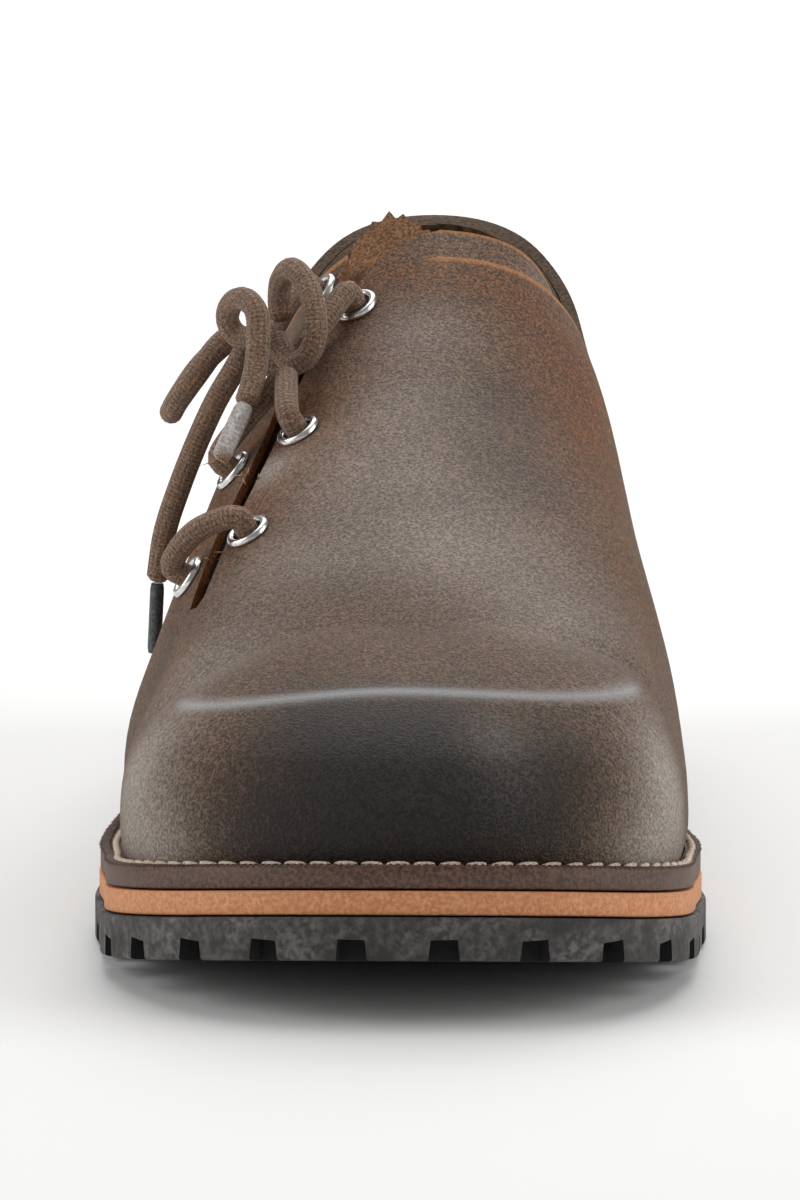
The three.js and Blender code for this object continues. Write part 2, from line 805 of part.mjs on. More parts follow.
function notch(place, angle, bottom) {
  const foot = (lugGap + lugFlare) / 2;
  const head = lugGap / 2;
  const low = -lugHeight / 2;
  const deep = [[-foot, low], [foot, low], [head, lugHeight], [-head, lugHeight]];
  const shape = new THREE.Shape(deep.map(([x, z]) => new THREE.Vector2(x, z)));
  const outside = lugGap;
  const length = lugDepth + outside;
  const geometry = new THREE.ExtrudeGeometry(shape, { depth: length, bevelEnabled: false });
  geometry.translate(0, 0, -length / 2).rotateX(Math.PI / 2).translate(0, outside - length / 2, 0);
  geometry.rotateZ(angle).translate(place.x, place.y, bottom);
  return manifoldOf(geometry);
}

// Channel between the edge lugs and the middle of the tread, and bars across the middle
const channelWidth = 5;
const under = lugHeight; // cuts start this far under the tread
const channelStart = 0.07;
const channelEnd = 0.47;
const middleGrooves = [0.13, 0.205, 0.285, 0.385];

function treadChannel() {
  const top = (d) => treadBottom(d) + lugHeight;
  const outside = slab(0, -lugDepth, top, () => -under);
  const inside = slab(0, -lugDepth - channelWidth, (d) => top(d) + 1, () => -2 * under);
  return outside.subtract(inside).intersect(ahead(channelStart * soleLength, channelEnd * soleLength));
}

function middleGroove(share) {
  const d = share * soleLength;
  const width = 2 * (halfBall - lugDepth - channelWidth);
  const rise = lugHeight + under;
  const bar = new THREE.BoxGeometry(width, channelWidth, rise).toNonIndexed();
  return manifoldOf(bar.translate(0, d, treadBottom(d) + lugHeight - rise / 2));
}

function makeOutsole() {
  const whole = slab(0, 0, outsoleTop, treadBottom);
  const notches = edgeNotches(0, channelEnd * soleLength, treadBottom);
  const cuts = [treadChannel(), ...notches, ...middleGrooves.map(middleGroove)];
  return cuts.reduce((solid, cut) => solid.subtract(cut), whole);
}

const heelInset = 0.4;
const heelGroove = 0.9; // place of the groove across the heel, share of the length

function makeHeel() {
  const front = heelBreast * soleLength;
  const back = 1.1 * soleLength;
  const block = slab(0, -heelInset, (d) => treadBottom(d) - gap, () => 0).intersect(ahead(front, back));
  const notches = edgeNotches(front + lugGap, back, () => 0);
  const cross = new THREE.BoxGeometry(halfBall, channelWidth, 2 * lugHeight).toNonIndexed();
  const bar = manifoldOf(cross.translate(0, heelGroove * soleLength, 0));
  return [...notches, bar].reduce((solid, cut) => solid.subtract(cut), block);
}

// Lace: bars between eyelets follow the eyelets, and the bow's cords follow points chosen by hand

function above(place, height) {
  return place.point.clone().addScaledVector(place.normal, height);
}

const laceInHole = -0.9; // heights of a cord's first points over an eyelet, from the leather's face
const laceAtRim = 1.3;
const laceOverEyelet = 3.8;
const barArch = 6.5;
const crossLift = 7; // from the middle pair to where its strands meet
const crossAhead = 12.5;
const crossShare = 0.2;
const cordSides = 8;

function cordSolid(points, steps, diameter) {
  const curve = new THREE.CatmullRomCurve3(points, false, "centripetal");
  const round = diameter / 2 / Math.cos(Math.PI / cordSides) ** 0.5;
  const section = new THREE.Shape();
  for (let i = 0; i < cordSides; i += 1) {
    const turn = (2 * Math.PI * i) / cordSides;
    const corner = [round * Math.cos(turn), round * Math.sin(turn)];
    if (i === 0) {
      section.moveTo(...corner);
    } else {
      section.lineTo(...corner);
    }
  }
  const tube = new THREE.ExtrudeGeometry(section, { steps, extrudePath: curve, bevelEnabled: false });
  return manifoldOf(tube);
}

const eyelet = (name) => eyelets.find((place) => place.name === name);

// A cord's first points, straight out of an eyelet
const outOf = (place) => [laceInHole, laceAtRim, laceOverEyelet].map((height) => above(place, height));

// The bar over the lowest pair
function laceBar() {
  const from = eyelet("eyelet_vamp_1");
  const to = eyelet("eyelet_quarter_1");
  const middle = from.point.clone().lerp(to.point, 0.5);
  middle.addScaledVector(from.normal.clone().add(to.normal).normalize(), barArch);
  return cordSolid([...outOf(from), middle, ...outOf(to).reverse()], 8, laceDiameter);
}

// Both strands from the middle pair, joined below the knot
function laceCross() {
  const from = eyelet("eyelet_vamp_2");
  const to = eyelet("eyelet_quarter_2");
  const meet = from.point.clone().lerp(to.point, crossShare).addScaledVector(from.normal, crossLift);
  meet.addScaledVector(slitDirection, crossAhead);
  const fromVamp = cordSolid([...outOf(from), meet], 5, laceDiameter);
  return fromVamp.add(cordSolid([...outOf(to), meet], 6, laceDiameter));
}

// Across, along from the toe tip, up
const bow = {
  lace_knot: {
    steps: 15,
    points: [
      [-16.8, 163.8, 100.4],
      [-19.4, 162.4, 97],
      [-21.5, 161.6, 94.2],
      [-24.4, 161.8, 92.6],
      [-27.2, 164.3, 92.9],
      [-28.4, 168.5, 95],
      [-26.4, 174, 97.6],
      [-23.4, 180, 102],
    ],
  },
  lace_loop_a: {
    steps: 13,
    points: [
      [-25.2, 161, 98.4],
      [-24.2, 157.6, 96.2],
      [-22, 155, 94.2],
      [-19.4, 154, 95.7],
      [-17.9, 153.8, 99.5],
      [-18.1, 155.3, 104.1],
      [-19.3, 158.3, 108],
      [-22.3, 162.4, 110.7],
      [-24.5, 167, 108],
      [-25, 169.6, 103.5],
      [-24.6, 168.6, 100.2],
    ],
  },
  lace_loop_b: {
    steps: 11,
    points: [
      [-33.4, 166.8, 98.2],
      [-36.4, 165.4, 95.6],
      [-40, 162.8, 91],
      [-43.8, 164.5, 85.5],
      [-45, 168.5, 83],
      [-43.8, 172.5, 85],
      [-40, 174, 90.5],
      [-35.5, 173, 95],
      [-31.8, 171, 98],
    ],
  },
  lace_end_a: {
    steps: 14,
    points: [
      [-26.6, 154.2, 99.8],
      [-29, 156.2, 98.9],
      [-32.3, 158.2, 98.8],
      [-34.2, 158.8, 101.6],
      [-33.4, 157, 105],
      [-30.9, 153.8, 106.4],
      [-28.7, 151, 104.6],
      [-28.2, 149, 100.6],
      [-28.5, 147.4, 95.7],
      [-29.4, 145, 91.3],
      [-30.4, 142.6, 88.4],
    ],
  },
  lace_end_b: {
    steps: 7,
    points: [
      [-30.9, 162.2, 95.9],
      [-33, 161, 92.2],
      [-36.3, 160.4, 86.6],
      [-40, 160.5, 78.5],
      [-43.3, 161, 70],
      [-46, 162, 61.5],
      [-47.4, 163, 52.3],
    ],
  },
};
const aglets = {
  aglet_a: { from: [-30.56, 142.25, 88.1], to: [-34.5, 134.1, 80.2], diameter: paleAgletDiameter },
  aglet_b: { from: [-47.45, 163.1, 51.7], to: [-48.1, 164, 38.6], diameter: darkAgletDiameter },
};

const bowPoints = (rows) => rows.map((row) => new THREE.Vector3(...row));

// The knot's cord comes out of the top eyelet on the vamp and goes back into the one on the quarter
function bowCord(name) {
  const { steps, points } = bow[name];
  if (name !== "lace_knot") {
    return cordSolid(bowPoints(points), steps, laceDiameter);
  }
  const from = eyelet("eyelet_vamp_3");
  const to = eyelet("eyelet_quarter_3");
  return cordSolid([...outOf(from), ...bowPoints(points), ...outOf(to).reverse()], steps, laceDiameter);
}

const looks = {
  rubber: { color: 0x33343a, roughness: 0.85, metalness: 0 },
  tan: { color: 0xb9855a, roughness: 0.6, metalness: 0 },
  dark: { color: 0x55463c, roughness: 0.6, metalness: 0 },
  suede: { color: 0x675646, roughness: 0.8, metalness: 0 },
  nickel: { color: 0xc8c8cc, roughness: 0.25, metalness: 1 },
  cord: { color: 0x4a3b32, roughness: 0.9, metalness: 0 },
  paleSleeve: { color: 0xb8b0aa, roughness: 0.5, metalness: 0 },
  darkSleeve: { color: 0x45474a, roughness: 0.4, metalness: 0 },
};

const shoe = new THREE.Group();

function addPiece(name, manifold, look) {
  const mesh = new THREE.Mesh(geometryOf(manifold), new THREE.MeshStandardMaterial(look));
  mesh.name = name;
  shoe.add(mesh);
  return mesh;
}

addPiece("outsole", makeOutsole(), looks.rubber);
addPiece("heel", makeHeel(), looks.rubber);
addPiece("midsole", slab(0, -midsoleInset, midsoleTop, midsoleBottom), looks.tan);
addPiece("welt", makeWelt(), looks.dark);
addPiece("insole", makeInsole(), looks.tan);
addPiece("upper", makeUpper(), looks.suede);
addPiece("collar_lining", makeLining(), looks.suede);
addPiece("tongue", makeTongue(), looks.suede);
eyelets.forEach((place) => addPiece(place.name, eyeletSolid(place), looks.nickel));

addPiece("lace_bar", laceBar(), looks.cord);
addPiece("lace_cross", laceCross(), looks.cord);
Object.keys(bow).forEach((name) => addPiece(name, bowCord(name), looks.cord));
Object.entries(aglets).forEach(([name, ends]) => {
  const middleLine = [ends.from, ends.to].map((end) => new THREE.Vector3(...end));
  const sleeve = cordSolid(middleLine, 1, ends.diameter);
  addPiece(name, sleeve, name === "aglet_a" ? looks.paleSleeve : looks.darkSleeve);
});

const footprint = new THREE.Box3().setFromObject(shoe.getObjectByName("outsole"));
const middle = footprint.getCenter(new THREE.Vector3());
shoe.position.set(-middle.x, -middle.y, 0);

export default shoe;
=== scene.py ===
import math

import bmesh
import bpy
import numpy as np
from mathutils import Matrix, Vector
from mathutils.bvhtree import BVHTree


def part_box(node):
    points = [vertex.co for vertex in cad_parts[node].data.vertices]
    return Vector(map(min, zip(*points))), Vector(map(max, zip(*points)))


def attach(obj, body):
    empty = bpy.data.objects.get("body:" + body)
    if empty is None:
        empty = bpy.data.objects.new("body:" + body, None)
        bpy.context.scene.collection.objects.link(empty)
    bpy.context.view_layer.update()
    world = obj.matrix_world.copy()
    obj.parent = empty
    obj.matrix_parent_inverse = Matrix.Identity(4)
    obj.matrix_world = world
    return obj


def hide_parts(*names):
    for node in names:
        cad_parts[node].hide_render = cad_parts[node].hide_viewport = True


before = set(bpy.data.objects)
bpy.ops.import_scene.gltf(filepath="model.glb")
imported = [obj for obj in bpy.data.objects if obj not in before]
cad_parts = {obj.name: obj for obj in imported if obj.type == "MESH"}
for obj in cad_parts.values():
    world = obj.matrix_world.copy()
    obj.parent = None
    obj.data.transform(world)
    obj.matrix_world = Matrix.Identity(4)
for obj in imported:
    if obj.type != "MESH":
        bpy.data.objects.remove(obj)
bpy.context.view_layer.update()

# A right-foot haferl shoe, laced on its outer side. The skin is worked out in millimetres from the toe
# tip, as a maker's last is, and moved into the frame when a mesh is made.
mm = 0.001
frameShift = np.array([0.637, -152.515, 0.0])  # from the last's own origin to the middle of the sole


def inFrame(points):
    return (np.asarray(points, float) + frameShift) * mm


# Camera: the photograph's viewpoint, closer in on the one shoe

cameraSettings = {
    "stand": (64.56, -2600, 518),  # where the lens is
    "aim": (-1.0, 100, 59.5),
    "pixelsPerRadian": 15150,  # for an image 1200 pixels high
    "imageHeight": 1200,
    "sensor": 36,
    "sees": (0.1, 50),  # nearest and furthest, in metres
}


def putInScene(name, data):
    made = bpy.data.objects.new(name, data)
    bpy.context.scene.collection.objects.link(made)
    return made


def makeCamera(settings):
    data = bpy.data.cameras.new("studioCamera")
    camera = putInScene("studioCamera", data)
    stand, aim = inFrame([settings["stand"], settings["aim"]])
    camera.location = stand
    camera.rotation_euler = Vector(aim - stand).to_track_quat("-Z", "Y").to_euler()
    data.sensor_fit = "VERTICAL"
    data.sensor_height = data.sensor_width = settings["sensor"]
    data.lens = settings["sensor"] * settings["pixelsPerRadian"] / settings["imageHeight"]
    data.clip_start, data.clip_end = settings["sees"]
    bpy.context.scene.camera = camera


makeCamera(cameraSettings)
print("camera placed")


# Small tools for meshes


def rawPiece(name, places, faces, material=None, edges=()):
    # places are in the frame, in metres
    mesh = bpy.data.meshes.new(name)
    mesh.from_pydata([tuple(p) for p in places], edges, [tuple(int(i) for i in f) for f in faces])
    if material:
        mesh.materials.append(material)
    return putInScene(name, mesh)


def newPiece(name, points, faces, material, smooth=True, sharpAt=None):
    piece = rawPiece(name, inFrame(points), faces, material)
    finishMesh(piece, smooth, sharpAt)
    return piece


creases = {"leather": 38, "metal": 50, "slab": 50, "rubber": 35}  # degrees from which an edge stays sharp


def finishMesh(piece, smooth=True, sharpAt=None, weld=2e-6):
    work = bmesh.new()
    work.from_mesh(piece.data)
    bmesh.ops.remove_doubles(work, verts=work.verts, dist=weld)
    bmesh.ops.dissolve_degenerate(work, dist=weld / 4, edges=work.edges)
    bmesh.ops.recalc_face_normals(work, faces=work.faces)
    work.to_mesh(piece.data)
    work.free()
    if smooth:
        piece.data.shade_smooth()
    else:
        piece.data.shade_flat()
    if smooth and sharpAt:
        piece.data.set_sharp_from_angle(angle=math.radians(sharpAt))


def applyModifiers(piece):
    graph = bpy.context.evaluated_depsgraph_get()
    graph.update()
    finished = piece.evaluated_get(graph)
    mesh = bpy.data.meshes.new_from_object(finished, preserve_all_data_layers=True, depsgraph=graph)
    piece.modifiers.clear()
    piece.data = mesh


def cutWith(piece, cutter, operation="DIFFERENCE"):
    modifier = piece.modifiers.new("cut", "BOOLEAN")
    modifier.operation = operation
    modifier.object = cutter
    modifier.solver = "MANIFOLD"
    modifier.material_mode = "TRANSFER"
    applyModifiers(piece)
    bpy.data.objects.remove(cutter)


def join(name, pieces):
    keep = pieces[0]
    with bpy.context.temp_override(active_object=keep, selected_editable_objects=pieces, object=keep):
        bpy.ops.object.join()
    keep.name = name
    return keep


def setAttribute(piece, name, values):
    attribute = piece.data.attributes.new(name, "FLOAT", "POINT")
    attribute.data.foreach_set("value", np.asarray(values, np.float32))


def pointsOf(piece):
    places = np.empty(len(piece.data.vertices) * 3)
    piece.data.vertices.foreach_get("co", places)
    return places.reshape(-1, 3) / mm - frameShift


# Curves through rows of numbers, as in the part's source


def walkedAlong(line):
    # the way walked from the start of a line to each of its points
    return np.concatenate([[0], np.cumsum(np.linalg.norm(np.diff(line, axis=0), axis=1))])


def rowTangents(at, rows):
    steps = np.diff(at)
    slopes = np.diff(rows, axis=0) / steps[:, None]
    before, after = steps[:-1, None], steps[1:, None]
    middle = (slopes[:-1] * after + slopes[1:] * before) / (before + after)
    return np.vstack([slopes[:1], middle, slopes[-1:]])


def hermite(start, end, leaving, arriving, span, u):
    rise = (3 - 2 * u) * u * u
    bend = span * ((u**3 - 2 * u**2 + u) * leaving + (u**3 - u**2) * arriving)
    return (1 - rise) * start + rise * end + bend


def readRows(at, rows, tangents, x):
    i = int(np.clip(np.searchsorted(at, x, side="right") - 1, 0, len(at) - 2))
    span = at[i + 1] - at[i]
    u = min(max((x - at[i]) / span, 0), 1)
    return hermite(rows[i], rows[i + 1], tangents[i], tangents[i + 1], span, u)


def smoothLine(points, perStep):
    rows = np.asarray(points, float)
    at = walkedAlong(rows)
    tangents = rowTangents(at, rows)
    places = np.concatenate([np.linspace(a, b, perStep, endpoint=False) for a, b in zip(at, at[1:])])
    return np.array([readRows(at, rows, tangents, x) for x in [*places, at[-1]]])


def evenly(points, step):
    line = np.asarray(points, float)
    at = walkedAlong(line)
    places = np.linspace(0, at[-1], max(round(at[-1] / step), 1) + 1)
    return np.stack([np.interp(places, at, column) for column in line.T], axis=1)


# The last: driving sizes in millimetres, and the same sections as the part's source

last = {
    "soleLength": 305, "ballWidth": 110.2, "instepRise": 89.5, "ankleRise": 47.5, "heelRise": 74,
    "toeSpring": 12.9, "heelLift": 13.4, "welt": 4.2, "midsole": 4.4, "outsole": 7.4,
    "gap": 0.3, "leather": 2.2, "lining": 1.5, "tongue": 1.4, "bandReach": 9.6, "bandDepth": 10,
    "bandRise": 0.35, "slitWidth": 4.4, "quarterTop": 0.022, "eyeletInset": 5.6, "eyeletOuter": 8.6,
    "ridgeCrease": 0.75, "ridgeAside": 0.35, "ridgeFade": 25, "seamFlare": 0.35,
    "pinkPitch": 3.2, "pinkDepth": 1.3,
    "toeRibs": 26, "sideRibs": 84, "heelRibs": 22, "rowsPerKnot": (5, 8, 11, 10, 8),
}
# along, spring, lift
springRows = [
    (0, 1, 0), (0.082, 0.62, 0), (0.164, 0.31, 0), (0.246, 0.09, 0), (0.328, 0, 0), (0.41, 0, 0.045),
    (0.508, 0, 0.255), (0.623, 0, 0.6), (0.738, 0, 0.85), (0.869, 0, 0.97), (1, 0, 1),
]
# along, centre, outer widths (sole edge, seam, bulge, side, shoulder, crown), inner widths, heights, spine
sections = [
    (0.203, 0.018, (0.993, 0.907, 0.926, 0.886, 0.74, 0.381), (0.955, 0.889, 0.904, 0.857, 0.759, 0.39),
     (0.11, 0.23, 0.33, 0.445), (0.11, 0.25, 0.37, 0.462), 0.484),
    (0.295, 0.009, (1.022, 0.922, 0.931, 0.835, 0.679, 0.354), (0.978, 0.902, 0.918, 0.846, 0.682, 0.359),
     (0.112, 0.295, 0.46, 0.568), (0.123, 0.322, 0.51, 0.586), 0.603),
    (0.393, 0.009, (0.975, 0.871, 0.935, 0.849, 0.626, 0.327), (0.877, 0.802, 0.871, 0.831, 0.646, 0.336),
     (0.112, 0.335, 0.581, 0.693), (0.123, 0.369, 0.603, 0.704), 0.732),
    (0.492, 0.027, (0.862, 0.768, 0.871, 0.808, 0.594, 0.304), (0.722, 0.646, 0.762, 0.753, 0.584, 0.309),
     (0.106, 0.363, 0.654, 0.793), (0.117, 0.385, 0.676, 0.804), 0.844),
    (0.61, 0.045, (0.76, 0.677, 0.78, 0.717, 0.465, 0.229), (0.653, 0.577, 0.672, 0.653, 0.49, 0.272),
     (0.111, 0.423, 0.79, 0.958), (0.111, 0.423, 0.803, 0.965), 1),
    (0.705, 0.045, (0.722, 0.639, 0.699, 0.644, 0.482, 0.28), (0.65, 0.577, 0.644, 0.599, 0.473, 0.28),
     (0.121, 0.411, 0.78, 1.149), (0.121, 0.411, 0.78, 1.149), 1.238),
    (0.866, 0.018, (0.672, 0.599, 0.644, 0.59, 0.454, 0.272), (0.668, 0.599, 0.644, 0.59, 0.454, 0.272),
     (0.161, 0.429, 0.764, 1.178), (0.161, 0.429, 0.764, 1.178), 1.345),
]
toeEnd = {
    "reach": (0.2033, 0.187, 0.1885, 0.174, 0.12, 0.059), "up": (0.085, 0.188, 0.306, 0.352),
    "outer": (2.12, 2.15, 2.15, 2.2, 2.4, 2.2), "inner": (2.52, 2.5, 2.55, 2.6, 2.75, 2.3),
}
heelEnd = {
    "reach": (0.1344, 0.12, 0.126, 0.115, 0.1, 0.066), "up": (0.179, 0.447, 0.782, 1.173),
    "outer": (2.15, 2.15, 2.15, 2.1, 2.05, 2), "inner": (2.15, 2.15, 2.15, 2.1, 2.05, 2),
}
# along, front, back, band
toplineRows = [
    (0.59, 1.25, 0, 1), (0.597, 0.88, 0, 1), (0.608, 0.755, 0, 1), (0.627, 0.576, 0, 1),
    (0.656, 0.375, 0, 0.85), (0.69, 0.21, 0, 0.5), (0.725, 0.1, 0, 0.25), (0.765, 0.03, 0, 0.14),
    (0.81, 0, 0.05, 0.12), (0.86, 0, 0.25, 0.12), (0.91, 0, 0.58, 0.12), (0.945, 0, 0.83, 0.12),
    (0.966, 0, 0.93, 0.12), (1.01, 0, 0.98, 0.12),
]
# across, along
slitRows = [
    (-0.66, 0.318), (-0.615, 0.352), (-0.575, 0.382), (-0.515, 0.42), (-0.436, 0.474), (-0.368, 0.525),
    (-0.287, 0.561),
]
vampCorner = [(-0.18, 0.577), (-0.06, 0.588), (0.06, 0.593), (0.16, 0.6)]
quarterCorner = [(-0.29, 0.59), (-0.235, 0.612), (-0.22, 0.64), (0.16, 0.64)]
tongueSides = [
    (0.16, 0.613), (0.22, 0.58), (-0.05, 0.45), (-0.42, 0.31), (-0.6, 0.285), (-0.7, 0.295),
    (-0.62, 0.426), (-0.49, 0.541), (-0.4, 0.59),
]
tongueTop = [
    (-0.31, 0.622), (-0.29, 0.641), (-0.2, 0.651), (-0.1, 0.652), (-0.01, 0.642), (0.06, 0.63),
]

length = last["soleLength"]
halfBall = last["ballWidth"] / 2
soleStack = last["outsole"] + last["midsole"] + last["welt"] + 2 * last["gap"]
springAt = np.array([row[0] for row in springRows]) * length
springValues = np.array([[row[1] * last["toeSpring"] + row[2] * last["heelLift"]] for row in springRows])
springTangents = rowTangents(springAt, springValues)


def soleRise(d):
    return readRows(springAt, springValues, springTangents, d)[0]


def seamHeight(d):
    return soleStack + soleRise(d)


sectionAt = np.array([row[0] for row in sections]) * length
sectionValues = np.array([
    [row[1] * halfBall, *(np.array(row[2] + row[3]) * halfBall),
     *(seamHeight(row[0] * length) + np.array(row[4] + row[5] + (row[6],)) * last["instepRise"])]
    for row in sections
])
sectionTangents = rowTangents(sectionAt, sectionValues)
sectionTangents[[0, -1], 1:13] = 0  # the widths run straight into both ends
sectionTangents[-1, 21] = 0  # and the spine into the heel


def sectionOf(d):
    v = readRows(sectionAt, sectionValues, sectionTangents, d)
    return {"centre": v[0], "widths": (v[1:7], v[7:13]), "heights": (v[13:17], v[17:21]), "spine": v[21]}


def spineSlope(d):
    low, high = max(d - 0.5, sectionAt[0]), min(d + 0.5, sectionAt[-1])
    return (sectionOf(high)["spine"] - sectionOf(low)["spine"]) / (high - low)


def endRib(side, turn, end, axis, towards):
    across, along = math.sin(turn), math.cos(turn)
    section = sectionOf(axis)
    power = np.array(end["inner" if side else "outer"])
    reach = np.array(end["reach"]) * length
    radii = ((across / section["widths"][side]) ** power + (along / reach) ** power) ** (-1 / power)
    endSeam = seamHeight(axis + towards * reach[1])
    blend = along * along
    endUps = endSeam + np.array(end["up"]) * last["instepRise"]
    ups = section["heights"][side] * (1 - blend) + endUps * blend
    aside = last["ridgeAside"]
    return {
        "centre": section["centre"], "axis": axis, "dx": across if side else -across, "dd": towards * along,
        "radii": radii, "heights": [seamHeight(axis + towards * along * radii[1]), *ups],
        "spine": section["spine"], "tilt": spineSlope(axis) * towards * along,
        "crease": last["ridgeCrease"] * (aside + (1 - aside) * blend) if towards < 0 else 0,
    }


def sideRib(side, d):
    section = sectionOf(d)
    fade = max(0, 1 - (d - sectionAt[0]) / last["ridgeFade"])
    return {
        "centre": section["centre"], "axis": d, "dx": 1 if side else -1, "dd": 0,
        "radii": section["widths"][side], "heights": [seamHeight(d), *section["heights"][side]],
        "spine": section["spine"], "tilt": 0, "crease": last["ridgeCrease"] * last["ridgeAside"] * fade,
    }


def halfRibs(side):
    toe, heel = sectionAt[0], sectionAt[-1]
    quarter = math.pi / 2
    front = [endRib(side, quarter * i / last["toeRibs"], toeEnd, toe, -1) for i in range(last["toeRibs"])]
    middle = [sideRib(side, d) for d in np.linspace(toe, heel, last["sideRibs"] + 1)]
    turns = [quarter * i / last["heelRibs"] for i in range(last["heelRibs"] - 1, -1, -1)]
    return front + middle + [endRib(side, turn, heelEnd, heel, 1) for turn in turns]


outerRibs, innerRibs = halfRibs(0), halfRibs(1)
ribs = outerRibs + innerRibs[1:-1][::-1]
ribCount = len(ribs)


def ribProfile(rib):
    knots = np.array([*zip(rib["radii"][1:], rib["heights"]), (0, rib["spine"])])
    at = walkedAlong(knots)
    tangents = rowTangents(at, knots)
    tangents[0] = (last["seamFlare"], 1)
    tangents[-1] = (-1, -rib["tilt"])
    tangents[3] *= 1 - rib["crease"]
    points = []
    for k, count in enumerate(last["rowsPerKnot"]):
        ends = knots[k], knots[k + 1], tangents[k], tangents[k + 1], at[k + 1] - at[k]
        points += [hermite(*ends, j / count) for j in range(count)]
    return np.array([*points, knots[-1]])


def ribPoint(rib, radius, z):
    return np.array([rib["centre"] + rib["dx"] * radius, rib["axis"] + rib["dd"] * radius, z])


skin = np.array([[ribPoint(rib, radius, z) for radius, z in ribProfile(rib)] for rib in ribs])
rowCount = skin.shape[1]
ridgeRow = sum(last["rowsPerKnot"][:3])


def skinNormals():
    around = np.roll(skin, -1, axis=0) - np.roll(skin, 1, axis=0)
    up = np.empty_like(skin)
    up[:, 1:-1] = skin[:, 2:] - skin[:, :-2]
    up[:, 0] = skin[:, 1] - skin[:, 0]
    up[:, -1] = skin[:, -1] - skin[:, -2]
    normals = np.cross(up, around)
    for i, rib in enumerate(ribs):
        normals[i, -1] = (0, -spineSlope(rib["axis"]), 1)
    normals[:, 0, 2] = 0
    return normals / np.linalg.norm(normals, axis=2, keepdims=True)


normals = skinNormals()
print("last worked out:", ribCount, "ribs of", rowCount, "points")


# Meshes from rings and from the ribs


def circle(sides):
    turns = np.linspace(0, math.tau, sides, endpoint=False)
    return list(zip(np.cos(turns), np.sin(turns)))


def ringWall(lower, upper, sides=ribCount):
    turned = [(i + 1) % sides for i in range(sides)]
    return [(lower + i, lower + j, upper + j, upper + i) for i, j in enumerate(turned)]


def shellPiece(name, outerInset, innerInset, material):
    # the skin with a foot that stands in the welt, and the same again further in
    sheets = []
    for inset in (outerInset, innerInset):
        grid = skin - normals * inset
        foot = grid[:, :1] - np.array([0, 0, last["welt"]])
        sheets.append(np.concatenate([foot, grid], axis=1).transpose(1, 0, 2).reshape(-1, 3))
    inner = len(sheets[0])
    faces = []
    for low in range(0, inner - ribCount, ribCount):
        faces += ringWall(low, low + ribCount)
        faces += [face[::-1] for face in ringWall(inner + low, inner + low + ribCount)]
    return newPiece(name, np.concatenate(sheets), faces + ringWall(0, inner), material)


def solidBetween(name, first, second, material):
    # a closed solid from an outline and the same outline further on
    count = len(first)
    faces = [range(count), range(count, 2 * count), *ringWall(0, count, count)]
    return newPiece(name, [*first, *second], faces, material, smooth=False)


def discPiece(name, start, end, radius, material, sides=28):
    turn = (end - start).to_track_quat("Z", "Y")
    ring = [turn @ Vector((x * radius, y * radius, 0)) for x, y in circle(sides)]
    return solidBetween(name, [start + p for p in ring], [end + p for p in ring], material)


def prism(name, outline, low, high, axis, material):
    ends = [[(a, b, level) if axis == "z" else (level, a, b) for a, b in outline] for level in (low, high)]
    return solidBetween(name, *ends, material)


farAbove = seamHeight(length) + 2 * last["instepRise"]
slitFloor = soleStack + last["instepRise"] * 0.3  # cuts made from above go no lower than this
farBehind = 1.1 * length
wide = last["ballWidth"]
throatMiddle = sections[4][1] * halfBall


def toplineLine(back, reach):
    points = []
    for along, front, rear, band in toplineRows:
        ahead = 1 if front > 0 else 0
        d = (along + back * ahead) * length
        rise = last["instepRise"] - last["ankleRise"]
        up = last["ankleRise"] + front * rise + rear * (last["heelRise"] - last["ankleRise"])
        points.append((d + reach * band * ahead, seamHeight(d) + up + reach * band * last["bandRise"]))
    return smoothLine(points, 6)


def aboveTopline(back, reach, left, right):
    line = toplineLine(back, reach)
    outline = [*line, (line[-1][0], farAbove), (line[0][0], farAbove)]
    return prism("toplineCutter", outline, left, right, "x", materials["rawEdge"])


def cutOpening(piece, reach):
    # two cutters, one for each side of the throat, that overlap by a millimetre
    outerReach = max(reach - last["quarterTop"] * length, 0)
    cutWith(piece, aboveTopline(last["quarterTop"], outerReach, -wide, throatMiddle - 1))
    cutWith(piece, aboveTopline(0, reach, throatMiddle - 2, wide))


# Places on the skin under a place in plan

skinFaces = [face for k in range(rowCount - 1) for face in ringWall(k * ribCount, (k + 1) * ribCount)]
skinTree = BVHTree.FromPolygons([tuple(p) for p in skin.transpose(1, 0, 2).reshape(-1, 3)], skinFaces)


def skinUnder(x, d):
    point, normal, _, _ = skinTree.ray_cast(Vector((x, d, farAbove)), Vector((0, 0, -1)))
    return point, normal if normal.z > 0 else -normal


def asideOfSlit(place, distance, steps=6):
    # a place moved across the slit, over the skin, in small steps
    x, d = place
    for _ in range(steps):
        _, normal = skinUnder(x, d)
        ahead = (slitHeading - normal * slitHeading.dot(normal)).normalized()
        aside = normal.cross(ahead).normalized() * distance / steps
        x, d = x + aside.x, d + aside.y
    return np.array([x, d])


def inPlan(rows):
    return np.array([(across * halfBall, along * length) for across, along in rows])


slitEdge = inPlan(slitRows)
slitHeading = Vector((*(slitEdge[-1] - slitEdge[0]), last["instepRise"] * 0.4)).normalized()


